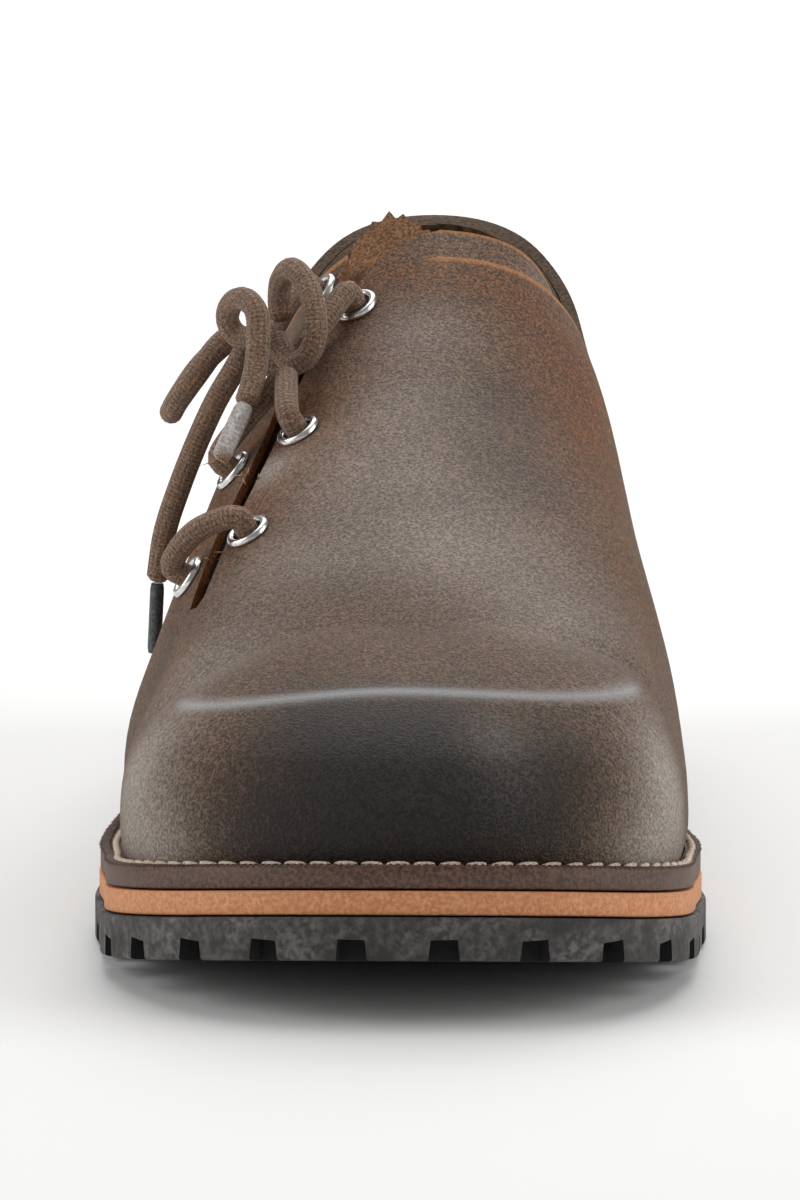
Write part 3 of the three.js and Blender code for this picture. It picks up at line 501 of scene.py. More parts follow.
def slitCutter(vampShift, quarterShift, left):
    vampSide = smoothLine([asideOfSlit(p, -vampShift) for p in slitEdge], 5)
    quarterSide = smoothLine([asideOfSlit(p, last["slitWidth"] + quarterShift) for p in slitEdge], 5)
    vampTop = inPlan(vampCorner) + (vampShift, left)
    quarterTop = [
        (x + (-quarterShift if across < 0 else vampShift), d)
        for (x, d), (across, _) in zip(inPlan(quarterCorner), quarterCorner)
    ]
    tip = (vampSide[0] + quarterSide[0]) / 2 - (0, last["slitWidth"] / 2 + (vampShift + quarterShift) / 2)
    outline = [tip, *vampSide, *vampTop, *quarterTop[::-1], *quarterSide[::-1]]
    return prism("slitCutter", outline, slitFloor, farAbove, "z", materials["rawEdge"])


# Node helpers


def fill(tree, made, inputs):
    # a socket is linked and anything else is set
    for key, value in inputs.items():
        if isinstance(value, bpy.types.NodeSocket):
            tree.links.new(value, made.inputs[key])
        else:
            made.inputs[key].default_value = value
    return made


def node(tree, kind, inputs=None, **settings):
    made = tree.nodes.new(kind)
    for name, value in settings.items():
        setattr(made, name, value)
    return fill(tree, made, inputs or {})


def calc(tree, operation, *values, clamp=False):
    made = node(tree, "ShaderNodeMath", dict(enumerate(values)), operation=operation, use_clamp=clamp)
    return made.outputs[0]


def rgb(text):
    # a colour as seen on a screen, turned into the shader's own scale
    parts = [int(text[i : i + 2], 16) / 255 for i in (0, 2, 4)]
    return (*[p / 12.92 if p <= 0.04045 else ((p + 0.055) / 1.055) ** 2.4 for p in parts], 1)


def mixColours(tree, share, first, second):
    return node(tree, "ShaderNodeMix", {0: share, 6: first, 7: second}, data_type="RGBA").outputs[2]


def mixValues(tree, share, first, second):
    return node(tree, "ShaderNodeMix", {0: share, 2: first, 3: second}, data_type="FLOAT").outputs[0]


def spread(tree, value, fromLow, fromHigh, toLow=0.0, toHigh=1.0):
    limits = {"From Min": fromLow, "From Max": fromHigh, "To Min": toLow, "To Max": toHigh}
    return node(tree, "ShaderNodeMapRange", {"Value": value, **limits}).outputs[0]


def bump(tree, height, strength, distance):
    inputs = {"Height": height, "Strength": strength, "Distance": distance}
    return node(tree, "ShaderNodeBump", inputs).outputs[0]


def newMaterial(name):
    material = bpy.data.materials.new(name)
    material.use_nodes = True
    return material, material.node_tree, material.node_tree.nodes["Principled BSDF"]


def shaderGroup(name, values, output):
    # a group that reads a place and some values, and gives one value
    group = bpy.data.node_groups.new(name, "ShaderNodeTree")
    group.interface.new_socket("Place", in_out="INPUT", socket_type="NodeSocketVector")
    for title in values:
        group.interface.new_socket(title, in_out="INPUT", socket_type="NodeSocketFloat")
    group.interface.new_socket(output, in_out="OUTPUT", socket_type="NodeSocketFloat")
    return group, group.nodes.new("NodeGroupInput").outputs, group.nodes.new("NodeGroupOutput").inputs[0]


def noiseOf(group, given, scale, detail, roughness):
    inputs = {"Vector": given["Place"], "Scale": given[scale], "Detail": detail, "Roughness": roughness}
    return node(group, "ShaderNodeTexNoise", inputs).outputs[0]


# Nap: the salt and pepper of brushed, waxed leather, with small dark pores

napSettings = {
    "detail": 3.0, "roughness": 0.62, "speckle": (0.39, 0.61), "poreScale": 0.42, "pores": (0.12, 0.5),
}


def makeNapGroup(settings):
    group, given, out = shaderGroup("nap", ("Grain", "Pores"), "Speckle")
    grain = noiseOf(group, given, "Grain", settings["detail"], settings["roughness"])
    speckle = spread(group, grain, *settings["speckle"])
    coarse = calc(group, "MULTIPLY", given["Grain"], settings["poreScale"])
    inputs = {"Vector": given["Place"], "Scale": coarse}
    pores = node(group, "ShaderNodeTexVoronoi", inputs, feature="SMOOTH_F1")
    pits = mixValues(group, given["Pores"], 1.0, spread(group, pores.outputs["Distance"], *settings["pores"]))
    group.links.new(calc(group, "MULTIPLY", speckle, pits), out)
    return group


# Blotch: slow drift of tone over a hide, a slab or a moulding
def makeBlotchGroup():
    group, given, out = shaderGroup("blotch", ("Size", "Edge"), "Tone")
    low, high = (calc(group, operation, 0.5, given["Edge"]) for operation in ("SUBTRACT", "ADD"))
    group.links.new(spread(group, noiseOf(group, given, "Size", 4.0, 0.55), low, high), out)
    return group


napGroup, blotchGroup = makeNapGroup(napSettings), makeBlotchGroup()


def useGroup(tree, group, values):
    place = node(tree, "ShaderNodeTexCoord").outputs["Object"]
    return node(tree, "ShaderNodeGroup", {"Place": place, **values}, node_tree=group).outputs[0]


def napOf(tree, grain, pores):
    return useGroup(tree, napGroup, {"Grain": grain, "Pores": pores})


def driftOf(tree, size, edge):
    return useGroup(tree, blotchGroup, {"Size": size, "Edge": edge})


# Leather finishes

# The pale colour is painted highlight and painted reflection of the side lamps, the black colour is the
# darker burnished toe with painted shade laid over it and in a crease, and the ridge colour is a painted
# highlight along the toe's ridge; warm and the cut edge are the leather's own colours.
upperLook = {
    "dark": "261b13", "light": "8b6a4e", "warm": "96591f", "warmDark": "351e0b", "paleHighlight": "c2b8ae",
    "black": "0e0a09", "ridgeHighlight": "b4b6b8", "cutEdge": "b57a49",
    "grain": 2000.0, "pores": 0.55, "driftSize": 55.0, "driftEdge": 0.22, "lineFades": (0.7, 1.6),
    "rough": 0.66, "burntRough": 0.48, "shine": 0.3, "sheen": 0.03, "relief": 0.6,
}


def upperMaterial(look):
    material, tree, shader = newMaterial("burnishedSuede")
    speckle = napOf(tree, look["grain"], look["pores"])
    tone = driftOf(tree, look["driftSize"], look["driftEdge"])
    masks = {name: node(tree, "ShaderNodeAttribute", attribute_name=name).outputs["Fac"]
             for name in ("warm", "paleHighlight", "burnishAndShade", "ridgeHighlight", "fromEdge")}
    shade = {name: rgb(text) for name, text in look.items() if isinstance(text, str)}

    def speckled(mask, low, high):
        return calc(tree, "MULTIPLY", mask, spread(tree, speckle, 0, 1, low, high), clamp=True)

    base = mixColours(tree, speckle, shade["dark"], shade["light"])
    warm = mixColours(tree, speckle, shade["warmDark"], shade["warm"])
    colour = mixColours(tree, masks["warm"], base, warm)
    layers = (
        # painted highlights and reflections, speckled with the nap
        ("paleHighlight", speckled(masks["paleHighlight"], 0.4, 1)),
        ("dark", spread(tree, tone, 0, 1, 0, 0.25)),
        # the darker burnished toe front, with painted shade over it and in a crease
        ("black", speckled(masks["burnishAndShade"], 1, 0.9)),
        # a painted highlight along the toe's ridge
        ("ridgeHighlight", masks["ridgeHighlight"]),
        ("cutEdge", speckled(spread(tree, masks["fromEdge"], *look["lineFades"], 1, 0), 0.55, 1)),
    )
    for name, share in layers:
        colour = mixColours(tree, share, colour, shade[name])
    fill(tree, shader, {
        "Base Color": colour,
        "Roughness": spread(tree, masks["burnishAndShade"], 0, 1, look["rough"], look["burntRough"]),
        "Specular IOR Level": look["shine"], "Sheen Weight": look["sheen"], "Sheen Roughness": 0.5,
        "Normal": bump(tree, speckle, look["relief"], 0.0003),
    })
    return material


# the usual finish, from which each of the other leathers and fibres differs a little
leatherLook = {
    "grain": 900.0, "pores": 0.35, "driftSize": 70.0, "driftEdge": 0.25, "drift": 0.35,
    "rough": 0.6, "roughSpread": 0.12, "relief": 0.3, "shine": 0.5,
}


def leatherMaterial(name, dark, light, **changes):
    look = {**leatherLook, **changes}
    material, tree, shader = newMaterial(name)
    speckle = napOf(tree, look["grain"], look["pores"])
    shade = spread(tree, driftOf(tree, look["driftSize"], look["driftEdge"]), 0, 1, 0, look["drift"])
    colour = mixColours(tree, speckle, rgb(dark), rgb(light))
    fill(tree, shader, {
        "Base Color": mixColours(tree, shade, colour, rgb(dark)), "Specular IOR Level": look["shine"],
        "Roughness": spread(tree, speckle, 0, 1, look["rough"], look["rough"] + look["roughSpread"]),
        "Normal": bump(tree, speckle, look["relief"], 0.0002),
    })
    return material


# the raw edge of the vamp is tan, and round the collar it is dressed dark
edgeLook = {
    "raw": ("6f4527", "b98252"), "dressed": ("33251a", "5f462e"), "turnsFrom": 0.045, "turnsBy": 0.065,
    "grain": 1500.0, "pores": 0.3, "rough": 0.8, "relief": 0.5,
}


def edgeMaterial(look):
    material, tree, shader = newMaterial("cutEdge")
    speckle = napOf(tree, look["grain"], look["pores"])
    place = node(tree, "ShaderNodeTexCoord").outputs["Object"]
    along = node(tree, "ShaderNodeSeparateXYZ", {0: place}).outputs[1]
    behind = spread(tree, along, look["turnsFrom"], look["turnsBy"])
    raw, dressed = (mixColours(tree, speckle, *map(rgb, look[name])) for name in ("raw", "dressed"))
    fill(tree, shader, {
        "Base Color": mixColours(tree, behind, raw, dressed), "Roughness": look["rough"],
        "Normal": bump(tree, speckle, look["relief"], 0.0002),
    })
    return material


rubberLook = {
    "dark": "2d2b2a", "light": "65605e", "grain": 700.0, "pores": 0.2, "driftSize": 130.0, "driftEdge": 0.16,
    "rough": (0.78, 0.55), "relief": 0.35,
}


def rubberMaterial(look):
    material, tree, shader = newMaterial("mouldedRubber")
    speckle = napOf(tree, look["grain"], look["pores"])
    tone = driftOf(tree, look["driftSize"], look["driftEdge"])
    share = calc(tree, "MULTIPLY", speckle, tone)
    fill(tree, shader, {
        "Base Color": mixColours(tree, share, rgb(look["dark"]), rgb(look["light"])),
        "Roughness": spread(tree, tone, 0, 1, *look["rough"]),
        "Normal": bump(tree, speckle, look["relief"], 0.00025),
    })
    return material


nickelLook = {
    "dark": "c9c7c4", "light": "efeeec", "driftSize": 700.0, "driftEdge": 0.2, "rough": (0.32, 0.18),
}


def nickelMaterial(look):
    material, tree, shader = newMaterial("nickel")
    tone = driftOf(tree, look["driftSize"], look["driftEdge"])
    fill(tree, shader, {
        "Base Color": mixColours(tree, tone, rgb(look["dark"]), rgb(look["light"])), "Metallic": 1.0,
        "Roughness": spread(tree, tone, 0, 1, *look["rough"]),
    })
    return material


# Braid: strands run both ways round a cord, by its own map (u round it, v along it in turns of the braid)
laceLook = {
    "dark": "38261b", "light": "a67f60", "fleck": "bf9c82", "strands": 6.0, "grain": 2600.0, "sheen": 0.22,
    "rough": 0.92, "relief": 0.75, "pores": 0.2, "speckled": 0.55,
}


def laceMaterial(look):
    material, tree, shader = newMaterial("braidedCotton")
    uv = node(tree, "ShaderNodeUVMap", uv_map="UVMap").outputs[0]
    around, along, _ = node(tree, "ShaderNodeSeparateXYZ", {0: uv}).outputs
    waves = []
    for turn in (1.0, -1.0):
        lean = calc(tree, "MULTIPLY_ADD", along, turn, around)
        waves.append(calc(tree, "SINE", calc(tree, "MULTIPLY", lean, look["strands"] * math.tau)))
    strands = spread(tree, calc(tree, "MULTIPLY", *waves), -0.9, 0.9)
    speckle = napOf(tree, look["grain"], look["pores"])
    share = mixValues(tree, look["speckled"], strands, speckle)
    colour = mixColours(tree, share, rgb(look["dark"]), rgb(look["light"]))
    fleck = spread(tree, speckle, 0.8, 1, 0, 0.5)
    fill(tree, shader, {
        "Base Color": mixColours(tree, fleck, colour, rgb(look["fleck"])), "Roughness": look["rough"],
        "Sheen Weight": look["sheen"], "Sheen Roughness": 0.6,
        "Normal": bump(tree, share, look["relief"], 0.0005),
    })
    return material


materials = {
    "upper": upperMaterial(upperLook),
    "rawEdge": edgeMaterial(edgeLook),
    "fray": leatherMaterial("frayedFibre", "a77a52", "d9bd9d", grain=1500.0, rough=0.9, relief=0.1),
    "flesh": leatherMaterial("fleshSide", "33271c", "5b4836", grain=1500.0, rough=0.8),
    "lining": leatherMaterial("smoothLining", "2c2013", "5c4529", grain=500.0, relief=0.15, shine=0.2),
    "tongue": leatherMaterial("tongueSuede", "50341f", "a3754c", grain=1700.0, rough=0.85, relief=0.5),
    "welt": leatherMaterial("weltLeather", "3a261c", "6d4d3b", grain=1300.0, rough=0.5),
    "thread": leatherMaterial("waxedThread", "b89a80", "f6ead9", grain=2600.0, rough=0.7, relief=0.6),
    "midsole": leatherMaterial("tanMidsole", "b8774c", "d99a6c", grain=1300.0, rough=0.62),
    "insole": leatherMaterial("insoleLeather", "7c5636", "a8794f", grain=800.0, rough=0.6),
    "rubber": rubberMaterial(rubberLook),
    # near-black painted shade on the walls of the tread's notches
    "notch": leatherMaterial("notchPaintedShade", "0d0c0c", "1f1d1c", grain=700.0, rough=0.85),
    "nickel": nickelMaterial(nickelLook),
    "lace": laceMaterial(laceLook),
    "agletPale": leatherMaterial("wornPaleSleeve", "8d8580", "d0cac6", grain=1500.0, rough=0.45),
    "agletDark": leatherMaterial("darkSleeve", "2c2d2e", "5d6062", grain=1200.0, rough=0.4),
}
print("materials made")


def finishPiece(piece, slot, *nodes):
    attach(piece, "root")
    if nodes:
        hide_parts(*nodes)
    return piece


# Cords: across, along from the toe tip, up, in millimetres; the same points as in the part's source

cordSettings = {
    "diameter": 4.4, "sides": 14, "step": 0.9, "braidTurn": 9.0,
    "throughHole": -3.4, "atRim": 1.3, "overEyelet": 3.8,  # heights at an eyelet
    "barArch": 6.5, "crossLift": 7, "crossAhead": 12.5, "crossShare": 0.2,
}
agletSettings = {"sides": 20, "step": 1.0, "ends": 0.12, "paleRadius": 1.8, "darkRadius": 1.3}
knotPoints = [
    (-16.8, 163.8, 100.4), (-19.4, 162.4, 97), (-21.5, 161.6, 94.2), (-24.4, 161.8, 92.6),
    (-27.2, 164.3, 92.9), (-28.4, 168.5, 95), (-26.4, 174, 97.6), (-23.4, 180, 102),
]
loopAPoints = [
    (-25.2, 161, 98.4), (-24.2, 157.6, 96.2), (-22, 155, 94.2), (-19.4, 154, 95.7), (-17.9, 153.8, 99.5),
    (-18.1, 155.3, 104.1), (-19.3, 158.3, 108), (-22.3, 162.4, 110.7), (-24.5, 167, 108),
    (-25, 169.6, 103.5), (-24.6, 168.6, 100.2),
]
loopBPoints = [
    (-33.4, 166.8, 98.2), (-36.4, 165.4, 95.6), (-40, 162.8, 91), (-43.8, 164.5, 85.5), (-45, 168.5, 83),
    (-43.8, 172.5, 85), (-40, 174, 90.5), (-35.5, 173, 95), (-31.8, 171, 98),
]
endAPoints = [
    (-26.6, 154.2, 99.8), (-29, 156.2, 98.9), (-32.3, 158.2, 98.8), (-34.2, 158.8, 101.6),
    (-33.4, 157, 105), (-30.9, 153.8, 106.4), (-28.7, 151, 104.6), (-28.2, 149, 100.6),
    (-28.5, 147.4, 95.7), (-29.4, 145, 91.3), (-30.4, 142.6, 88.4),
]
endBPoints = [
    (-30.9, 162.2, 95.9), (-33, 161, 92.2), (-36.3, 160.4, 86.6), (-40, 160.5, 78.5), (-43.3, 161, 70),
    (-46, 162, 61.5), (-47.4, 163, 52.3),
]
agletAPoints = [(-30.56, 142.25, 88.1), (-34.5, 134.1, 80.2)]
agletBPoints = [(-47.45, 163.1, 51.7), (-48.1, 164, 38.6)]


def catmullRom(points, perStep=24):
    # the centripetal curve that the part's source uses
    rows = np.asarray(points, float)
    rows = np.vstack([2 * rows[0] - rows[1], rows, 2 * rows[-1] - rows[-2]])
    line = []
    for p0, p1, p2, p3 in zip(rows, rows[1:], rows[2:], rows[3:]):
        t = np.cumsum([0] + [np.linalg.norm(b - a) ** 0.5 for a, b in ((p0, p1), (p1, p2), (p2, p3))])
        leaving = (p1 - p0) / (t[1] - t[0]) - (p2 - p0) / (t[2] - t[0]) + (p2 - p1) / (t[2] - t[1])
        arriving = (p2 - p1) / (t[2] - t[1]) - (p3 - p1) / (t[3] - t[1]) + (p3 - p2) / (t[3] - t[2])
        for j in range(perStep):
            line.append(hermite(p1, p2, leaving, arriving, t[2] - t[1], j / perStep))
    return np.array([*line, rows[-2]])


def tubePiece(name, line, radius, sides, material, ends=0.35):
    # rings that keep their turn along the line, with small domed ends, and a map of turns and length
    forward = np.gradient(line, axis=0)
    forward /= np.linalg.norm(forward, axis=1, keepdims=True)
    aside = Vector((0, 0, 1)).cross(Vector(forward[0]))
    aside = aside if aside.length > 0.1 else Vector((1, 0, 0))
    radii = np.full(len(line), radius, float)
    radii[[0, -1]] = radius * (1 - ends)
    points, faces, texture = [], [], []
    for centre, ahead, reach in zip(line, map(Vector, forward), radii):
        aside = (aside - ahead * aside.dot(ahead)).normalized()
        up = ahead.cross(aside)
        points += [centre + np.array(aside * x + up * y) * reach for x, y in circle(sides)]
    at = walkedAlong(line)
    for i in range(len(line) - 1):
        faces += ringWall(i * sides, (i + 1) * sides, sides)
        for j in range(sides):
            texture += [(j, at[i]), (j + 1, at[i]), (j + 1, at[i + 1]), (j, at[i + 1])]
    for end, ring in ((len(points), 0), (len(points) + 1, len(points) - sides)):
        for j in range(sides):
            face = (end, ring + (j + 1) % sides, ring + j)
            faces.append(face if ring == 0 else face[::-1])
            texture += [(j, 0)] * 3
    piece = rawPiece(name, inFrame([*points, line[0], line[-1]]), faces, material)
    texture = np.array(texture, float) / (sides, cordSettings["braidTurn"])
    piece.data.uv_layers.new(name="UVMap").data.foreach_set("uv", texture.astype(np.float32).ravel())
    piece.data.shade_smooth()
    return piece


def eyeletPlace(name):
    # the skin's point and outward direction at a CAD eyelet
    low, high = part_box(name)
    middle = np.array((low + high) / 2) / mm - frameShift
    point, normal, _, _ = skinTree.find_nearest(Vector(middle))
    return point, normal if normal.z > 0 else -normal  # all the eyelets look upwards


eyeletNames = [f"eyelet_{side}_{i}" for side in ("vamp", "quarter") for i in (1, 2, 3)]
eyeletPlaces = {name: eyeletPlace(name) for name in eyeletNames}


def outOf(name):
    point, normal = eyeletPlaces[name]
    heights = (cordSettings["throughHole"], cordSettings["atRim"], cordSettings["overEyelet"])
    return [tuple(point + normal * height) for height in heights]


def lacePath(points):
    return evenly(catmullRom(points), cordSettings["step"])


def laceTube(name, line):
    radius = cordSettings["diameter"] / 2
    return tubePiece(name, line, radius, cordSettings["sides"], materials["lace"])


def makeAglet(name, points, radius, look):
    line = evenly(points, agletSettings["step"])
    return tubePiece(name, line, radius, agletSettings["sides"], materials[look], agletSettings["ends"])


def makeLaces():
    paleSleeve = makeAglet("aglet_sleeve_a", agletAPoints, agletSettings["paleRadius"], "agletPale")
    darkSleeve = makeAglet("aglet_sleeve_b", agletBPoints, agletSettings["darkRadius"], "agletDark")
    finishPiece(paleSleeve, "aglet_pale", "aglet_a")
    finishPiece(darkSleeve, "aglet_dark", "aglet_b")
    knotRoute = [*outOf("eyelet_vamp_3"), *knotPoints, *outOf("eyelet_quarter_3")[::-1]]
    routes = {
        "knot_cord": (knotRoute, "lace_knot", "object", ()),
        "bow_loop_a": (loopAPoints, "lace_loop_a", "object", ()),
        "bow_loop_b": (loopBPoints, "lace_loop_b", "object", ()),
        "bow_end_a": (endAPoints, "lace_end_a", "fitting", [paleSleeve]),
        "bow_end_b": (endBPoints, "lace_end_b", "fitting", [darkSleeve]),
    }
    for name, (points, cadNode, farEnd, carried) in routes.items():
        line = lacePath(points)
        piece = laceTube(name, line)
        finishPiece(piece, "lace_cord", cadNode)


makeLaces()


def makeBars():
    vamp, quarter = eyeletPlaces["eyelet_vamp_1"], eyeletPlaces["eyelet_quarter_1"]
    middle = (vamp[0] + quarter[0]) / 2 + (vamp[1] + quarter[1]).normalized() * cordSettings["barArch"]
    route = [*outOf("eyelet_vamp_1"), tuple(middle), *outOf("eyelet_quarter_1")[::-1]]
    finishPiece(laceTube("lowest_bar", lacePath(route)), "lace_cord", "lace_bar")
    vamp, quarter = eyeletPlaces["eyelet_vamp_2"], eyeletPlaces["eyelet_quarter_2"]
    meet = vamp[0].lerp(quarter[0], cordSettings["crossShare"]) + vamp[1] * cordSettings["crossLift"]
    meet += slitHeading * cordSettings["crossAhead"]
    strands = [[*outOf(name), tuple(meet)] for name in ("eyelet_vamp_2", "eyelet_quarter_2")]
    tubes = [laceTube(f"strand_{i}", lacePath(points)) for i, points in enumerate(strands)]
    finishPiece(join("crossing_strands", tubes), "lace_cord", "lace_cross")


makeBars()
print("laces made")


# Upper: one wall of leather, cut along the topline and the lacing slit, with a hole for each eyelet


def lineInside(piece, material, outerInset, innerInset):
    # faces nearer the inner wall take the inside's look, if a cutter gave them no other
    middle = (outerInset + innerInset) / 2
    piece.data.materials.append(material)
    for polygon in piece.data.polygons:
        if polygon.material_index == 0:
            place = Vector(np.array(polygon.center) / mm - frameShift)
            _, _, _, away = skinTree.find_nearest(place)
            if away > middle:
                polygon.material_index = len(piece.data.materials) - 1


# Tone and painted light, placed one by one: across, along, up, reach, amount
warmSpots = [
    (-30, 120, 70, 17, 0.8), (-22, 145, 86, 15, 0.95), (-14, 168, 98, 12, 0.7), (31, 150, 82, 13, 0.9),
    (29, 168, 92, 13, 0.8), (41, 110, 62, 13, 0.55), (46, 85, 50, 12, 0.35), (-46, 78, 46, 13, 0.4),
    (14, 180, 106, 12, 0.5), (0, 178, 108, 12, 0.5), (-38, 135, 62, 15, 0.8), (36, 190, 70, 26, 0.4),
    (-40, 190, 66, 26, 0.45), (0, 293, 80, 24, 0.35), (34, 135, 72, 14, 0.6), (20, 176, 104, 10, 0.6),
    (-4, 180, 108, 12, 0.4), (37, 175, 78, 15, 0.6),
]
# Painted highlights and reflections: the side lamps on both sides of the toe and on the dent in its front, a
# painted sheen beside the slit, and a paler streak down the vamp's middle that is partly painted highlight
# and partly leather rubbed paler
paleHighlightSpots = [
    (0, 160, 102, 12, 0.4), (0, 138, 91, 13, 0.4), (-4, 115, 80, 18, 0.5), (10, 92, 70, 18, 0.5),
    (26, 72, 59, 14, 0.45), (-34, 66, 52, 14, 0.45), (-47, 42, 36, 14, 0.95), (49, 40, 36, 14, 0.95),
    (-43, 30, 24, 12, 0.75), (45, 28, 24, 12, 0.75), (-18, 92, 66, 16, 0.35), (-26, 131, 78, 6, 0.8),
    (17, 14, 47, 6, 0.8), (21, 9, 41, 6, 0.65), (6, 188, 112, 9, 0.22), (24, 192, 106, 9, 0.2),
]
# Darker burnished leather across the toe's front with painted shade over it where it faces away from the
# lamps, two soft darker spots on the vamp, and painted shade in the crease on the outer quarter below the
# lowest quarter eyelet
burnishAndShadeSpots = [
    (-6, 6, 38, 20, 1.0), (10, 5, 36, 18, 1.0), (0, 8, 42, 14, 1.0), (25, 8, 38, 14, 0.85),
    (-22, 8, 34, 15, 0.8), (0, 2, 20, 20, 0.7), (-14, 20, 50, 11, 0.8), (6, 18, 51, 9, 0.7),
    (31, 17, 49, 8, 0.6), (18, 140, 88, 10, 0.35), (20, 122, 78, 10, 0.3), (-43, 99, 52, 3.2, 0.7),
    (-45, 93, 47, 3.2, 0.7), (-46.5, 87, 42, 3, 0.5),
]


def spots(points, rows):
    total = np.zeros(len(points))
    for x, d, z, reach, amount in rows:
        away = np.linalg.norm(points - np.array([x, d, z]), axis=1)
        total = 1 - (1 - total) * (1 - amount * np.exp(-((away / reach) ** 2)))
    return total


# a painted highlight along the toe's ridge, fading out along the sides
ridgeHighlightSettings = {"width": 1.5, "amount": 0.62, "fadeAlong": 46, "fadeOver": 10, "ribsPastToe": 8}


def ridgeHighlightMask(points, settings):
    toe = last["toeRibs"] + settings["ribsPastToe"]
    line = np.concatenate([skin[:toe, ridgeRow], skin[-toe:, ridgeRow]])
    mask = np.zeros(len(points))
    near = np.where(points[:, 1] < settings["fadeAlong"] + 2 * settings["fadeOver"])[0]
    away = np.min(np.linalg.norm(points[near, None] - line[None], axis=2), axis=1)
    fade = np.clip((settings["fadeAlong"] - points[near, 1]) / settings["fadeOver"] + 1, 0, 1)
    mask[near] = settings["amount"] * np.exp(-((away / settings["width"]) ** 2)) * fade
    return mask


def fromTopline(points, back, reach):
    # how far each point lies from the topline, seen from the side
    line = toplineLine(back, reach)
    away = np.full(len(points), 1e3)
    for start, step in zip(line[:-1], np.diff(line, axis=0)):
        share = np.clip(((points[:, 1:] - start) @ step) / (step @ step), 0, 1)
        away = np.minimum(away, np.linalg.norm(points[:, 1:] - start - share[:, None] * step, axis=1))
    return away


# the tan line along the cut edge ends behind the throat, and the band's is a little thinner
tanLine = {"endsFrom": 0.69, "endsOver": 3, "thinner": 20}


def addTone(piece, reach=0.0):
    points = pointsOf(piece)
    behind = np.clip(points[:, 1] - tanLine["endsFrom"] * length, 0, None)
    outerReach = max(reach - last["quarterTop"] * length, 0)
    outer, inner = fromTopline(points, last["quarterTop"], outerReach), fromTopline(points, 0, reach)
    away = np.where(points[:, 0] < throatMiddle - 1, outer, inner)
    setAttribute(piece, "fromEdge", away + behind / tanLine["endsOver"] + reach / tanLine["thinner"])
    # the warm spots are the leather's own tone, the pale spots are painted highlights, and the burnt spots
    # are darker burnished leather with painted shade
    for name, rows in (("warm", warmSpots), ("paleHighlight", paleHighlightSpots), ("burnishAndShade", burnishAndShadeSpots)):
        setAttribute(piece, name, spots(points, rows))
    # the painted highlight along the toe's ridge
    setAttribute(piece, "ridgeHighlight", ridgeHighlightMask(points, ridgeHighlightSettings))


holeSettings = {"radius": 3.4, "reach": 5}  # the hole that each eyelet stands in


def makeUpper():
    upper = shellPiece("upper_leather", 0, last["leather"], materials["upper"])
    cutOpening(upper, 0)
    cutWith(upper, slitCutter(0, 0, 0))
    for point, normal in eyeletPlaces.values():
        reach = normal * holeSettings["reach"]
        pin = discPiece("pin", point - reach, point + reach, holeSettings["radius"], materials["rawEdge"])
        cutWith(upper, pin)
    lineInside(upper, materials["flesh"], 0, last["leather"])
    finishMesh(upper, sharpAt=creases["leather"])
    addTone(upper)
    finishPiece(upper, "upper_leather", "upper")


makeUpper()
print("upper made")


def makeLining():
    inset = last["leather"] + last["gap"]
    lining = shellPiece("collar_band", inset, inset + last["lining"], materials["upper"])
    below = [(d - last["bandDepth"] / 2, z - last["bandDepth"]) for d, z in toplineLine(0, 0)]
    outline = [*below, (farBehind, below[-1][1]), (farBehind, farAbove), (below[0][0], farAbove)]
    cutWith(lining, prism("keep", outline, -wide, wide, "x", materials["rawEdge"]), "INTERSECT")
    cutOpening(lining, last["bandReach"])
    pastEyelets = last["eyeletInset"] + last["eyeletOuter"] / 2 + 1
    cutWith(lining, slitCutter(last["gap"], pastEyelets, last["bandReach"]))
    lineInside(lining, materials["lining"], inset, inset + last["lining"])
    finishMesh(lining, sharpAt=creases["leather"])
    addTone(lining, last["bandReach"])
    finishPiece(lining, "lining_leather", "collar_lining")


makeLining()


def pinked(rows):
    line = evenly(inPlan(rows), last["pinkPitch"] / 2)
    line[::2, 1] -= last["pinkDepth"]
    return line


def makeTongue():
    inset = last["leather"] + last["lining"] + 2 * last["gap"]
    tongue = shellPiece("pinked_tongue", inset, inset + last["tongue"], materials["tongue"])
    outline = [*inPlan(tongueSides), *pinked(tongueTop)]
    cutWith(tongue, prism("column", outline, slitFloor, farAbove, "z", materials["rawEdge"]), "INTERSECT")
    finishMesh(tongue, sharpAt=creases["leather"])
    finishPiece(tongue, "tongue_leather", "tongue")


makeTongue()
print("band and tongue made")


# Frayed fibres: thin bent hairs where the raw edges have worn

fraySettings = {
    "thickness": 0.16, "taper": 0.8, "bend": 0.5, "tipBend": 1.6, "drift": (0, -0.4, 0.2), "seed": 11,
}
# across, along, up, reach, how many hairs, length
frayPlaces = [
    (-34.6, 133.9, 80, 0.9, 16, 2.6), (-36.5, 116, 64.6, 2.4, 14, 1.7), (-30.5, 131, 77.5, 2, 8, 1.4),
    (-15.5, 189, 103.5, 2.5, 10, 1.6),
]


